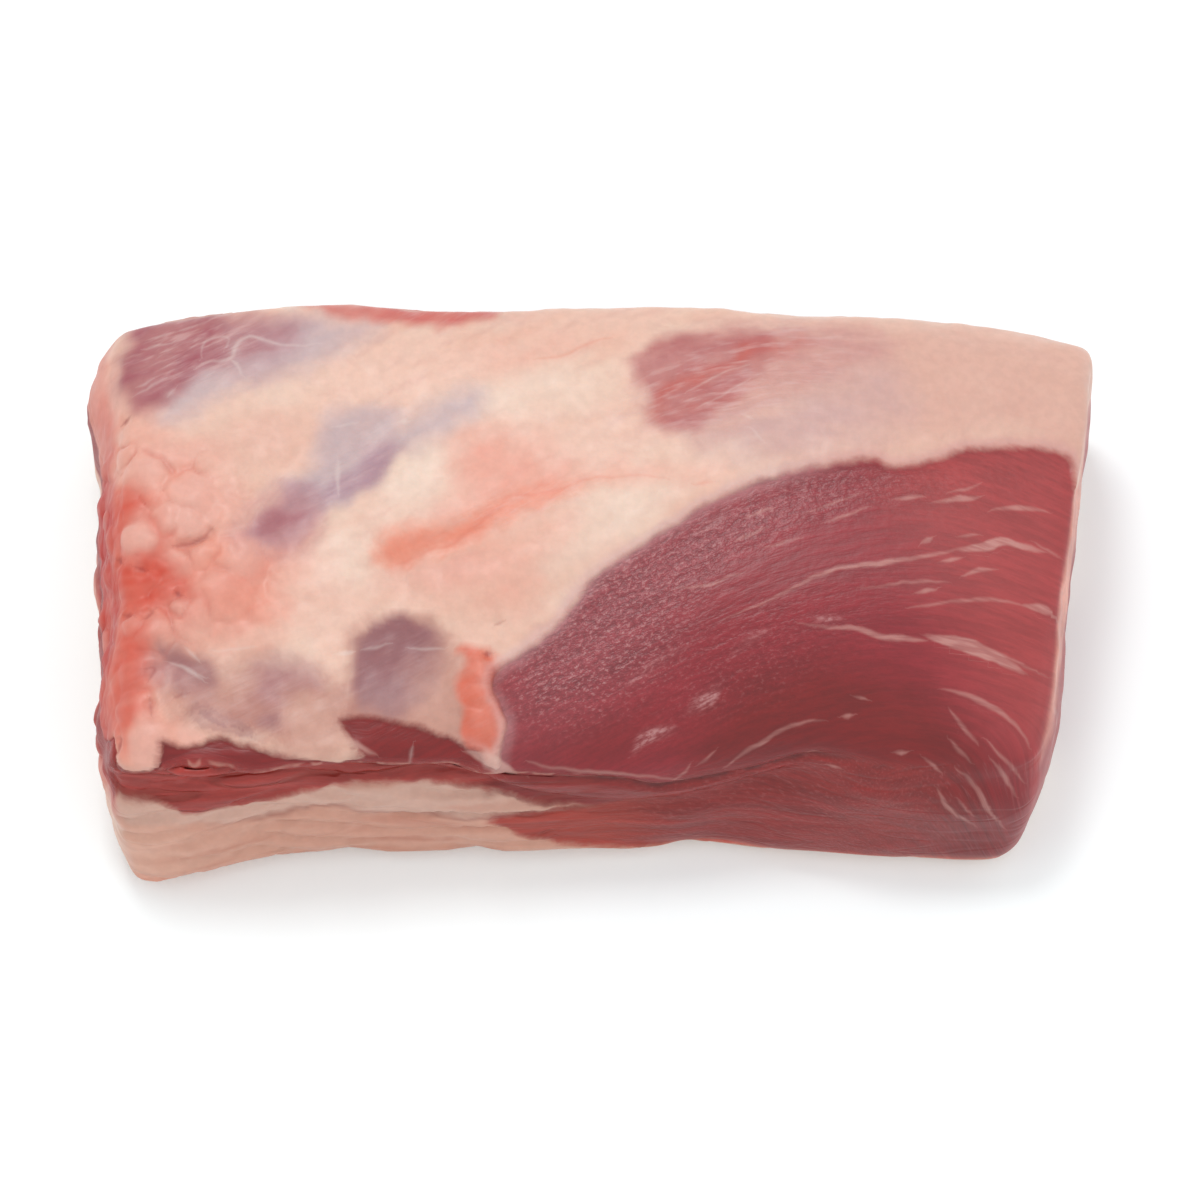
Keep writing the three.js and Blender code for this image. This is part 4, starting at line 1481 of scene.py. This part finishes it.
def leanColour(tree, seen, finish):
    red = painted(tree, "leanTint", "Color")
    red = shade(tree, red, between(tree, seen["fibre"], *finish["fibreShade"]))
    # painted shade in the crinkles' hollows and painted light on their tops
    pebbles = between(tree, seen["crinkle"], *finish["pebbles"])
    pebbleHollowShade = between(tree, seen["pebble"], *finish["pebbleHollowShade"])
    red = shade(tree, red, between(tree, pebbles, 0.0, 1.0, pebbleHollowShade, finish["pebbleTopLight"]))
    # painted glints: a pale tint on the tops of the crinkles
    paintedGlintZone = between(tree, seen["pebble"], *finish["paintedGlintZone"])
    paintedGlints = times(tree, between(tree, seen["crinkle"], *finish["paintedGlints"]), paintedGlintZone)
    red = tint(tree, paintedGlints, red, asAlbedo("milkyAndGlint"))
    broken = times(tree, between(tree, seen["fibre"], *finish["veinFibres"]), finish["veinShare"])
    veins = times(tree, strandMask(tree, "marbling", seen["wobble"], finish["veinSoft"]), broken)
    red = tint(tree, veins, red, asAlbedo("marbling"))
    patchy = between(tree, seen["fibre"], *finish["smearFibres"])
    patchy = times(tree, patchy, between(tree, seen["crinkle"], *finish["smearCrinkles"]))
    smears = times(tree, strandMask(tree, "milkySmears", seen["wobble"], finish["smearSoft"]), patchy)
    red = tint(tree, smears, red, asAlbedo("milkyAndGlint"))
    flecks = times(tree, between(tree, seen["mottled"], *finish["flecks"]), seen["endCut"])
    return tint(tree, flecks, red, asAlbedo("marbling"))


def drawLines(tree, colour, seen, finish):
    for name, (soft, strength, hue) in finish["lines"].items():
        line = times(tree, strandMask(tree, name, seen["wobble"], soft), strength)
        colour = tint(tree, line, colour, asAlbedo(hue))
    return colour


def drawLip(tree, colour, seen, finish):
    lipAt = calc(tree, "ADD", painted(tree, "lipGap"), seen["wobble"])
    rim = between(tree, calc(tree, "ABSOLUTE", lipAt), *finish["rim"])
    rim = times(tree, rim, painted(tree, "lipRim"))
    rim = times(tree, rim, between(tree, seen["mottled"], *finish["rimGaps"]))
    colour = tint(tree, rim, colour, asAlbedo("rim"))
    # a painted shadow along the crease under the lip, broken into gaps
    underLip = calc(tree, "ABSOLUTE", calc(tree, "ADD", lipAt, finish["creaseBelow"]))
    lipShadow = times(tree, between(tree, underLip, *finish["lipShadow"]), painted(tree, "lipCrease"))
    lipShadow = times(tree, lipShadow, between(tree, seen["mottled"], *finish["creaseGaps"]))
    return tint(tree, lipShadow, colour, asAlbedo("lipShadow"))


def meatBump(tree, seen, finish):
    fibres = times(tree, seen["longFibre"], between(tree, seen["endCut"], *finish["fibreDepth"]))
    crinkles = times(tree, seen["crinkle"], between(tree, seen["pebble"], *finish["pebbleDepth"]))
    mottles = times(tree, seen["mottled"], finish["mottleDepth"])
    wrinkles = times(tree, seen["fatStreaks"], between(tree, seen["wrinkly"], *finish["wrinkleDepth"]))
    leanHeight = calc(tree, "ADD", fibres, crinkles)
    fatHeight = calc(tree, "ADD", mottles, wrinkles)
    height = blend(tree, seen["isLean"], fatHeight, leanHeight)
    height = calc(tree, "SUBTRACT", height, times(tree, seen["foldLine"], finish["foldDepth"]))
    sockets = {"Strength": finish["bump"], "Distance": finish["bumpDepth"] * mm, "Height": height}
    return put(tree, "Bump", sockets).outputs[0]


def makeRawPork(grains, finish):
    material = bpy.data.materials.new("raw_pork")
    material.use_nodes = True
    tree = material.node_tree
    shader = tree.nodes["Principled BSDF"]
    seen = meatPatterns(tree, grains, finish)
    colour = tint(tree, seen["isLean"], fatColour(tree, seen, finish), leanColour(tree, seen, finish))
    # painted shade in the fold grooves
    foldShade = between(tree, seen["foldLine"], *finish["foldShade"])
    colour = tint(tree, foldShade, colour, asAlbedo("foldShade"))
    colour = drawLines(tree, colour, seen, finish)
    colour = drawLip(tree, colour, seen, finish)
    fatRough = between(tree, seen["mottled"], *finish["fatRoughness"])
    leanRough = between(tree, seen["pebble"], *finish["leanRoughness"])
    feed(tree, shader.inputs["Base Color"], colour)
    feed(tree, shader.inputs["Roughness"], blend(tree, seen["isLean"], fatRough, leanRough))
    feed(tree, shader.inputs["Normal"], meatBump(tree, seen, finish))
    shader.inputs["Subsurface Weight"].default_value = finish["subsurface"]
    shader.inputs["Subsurface Radius"].default_value = finish["subsurfaceRadius"]
    shader.inputs["Subsurface Scale"].default_value = finish["subsurfaceScale"]
    return material


meat.data.materials.append(makeRawPork(porkGrain, porkFinish))
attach(meat, "root")
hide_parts("pork_loin")
print("the raw pork finish is on")
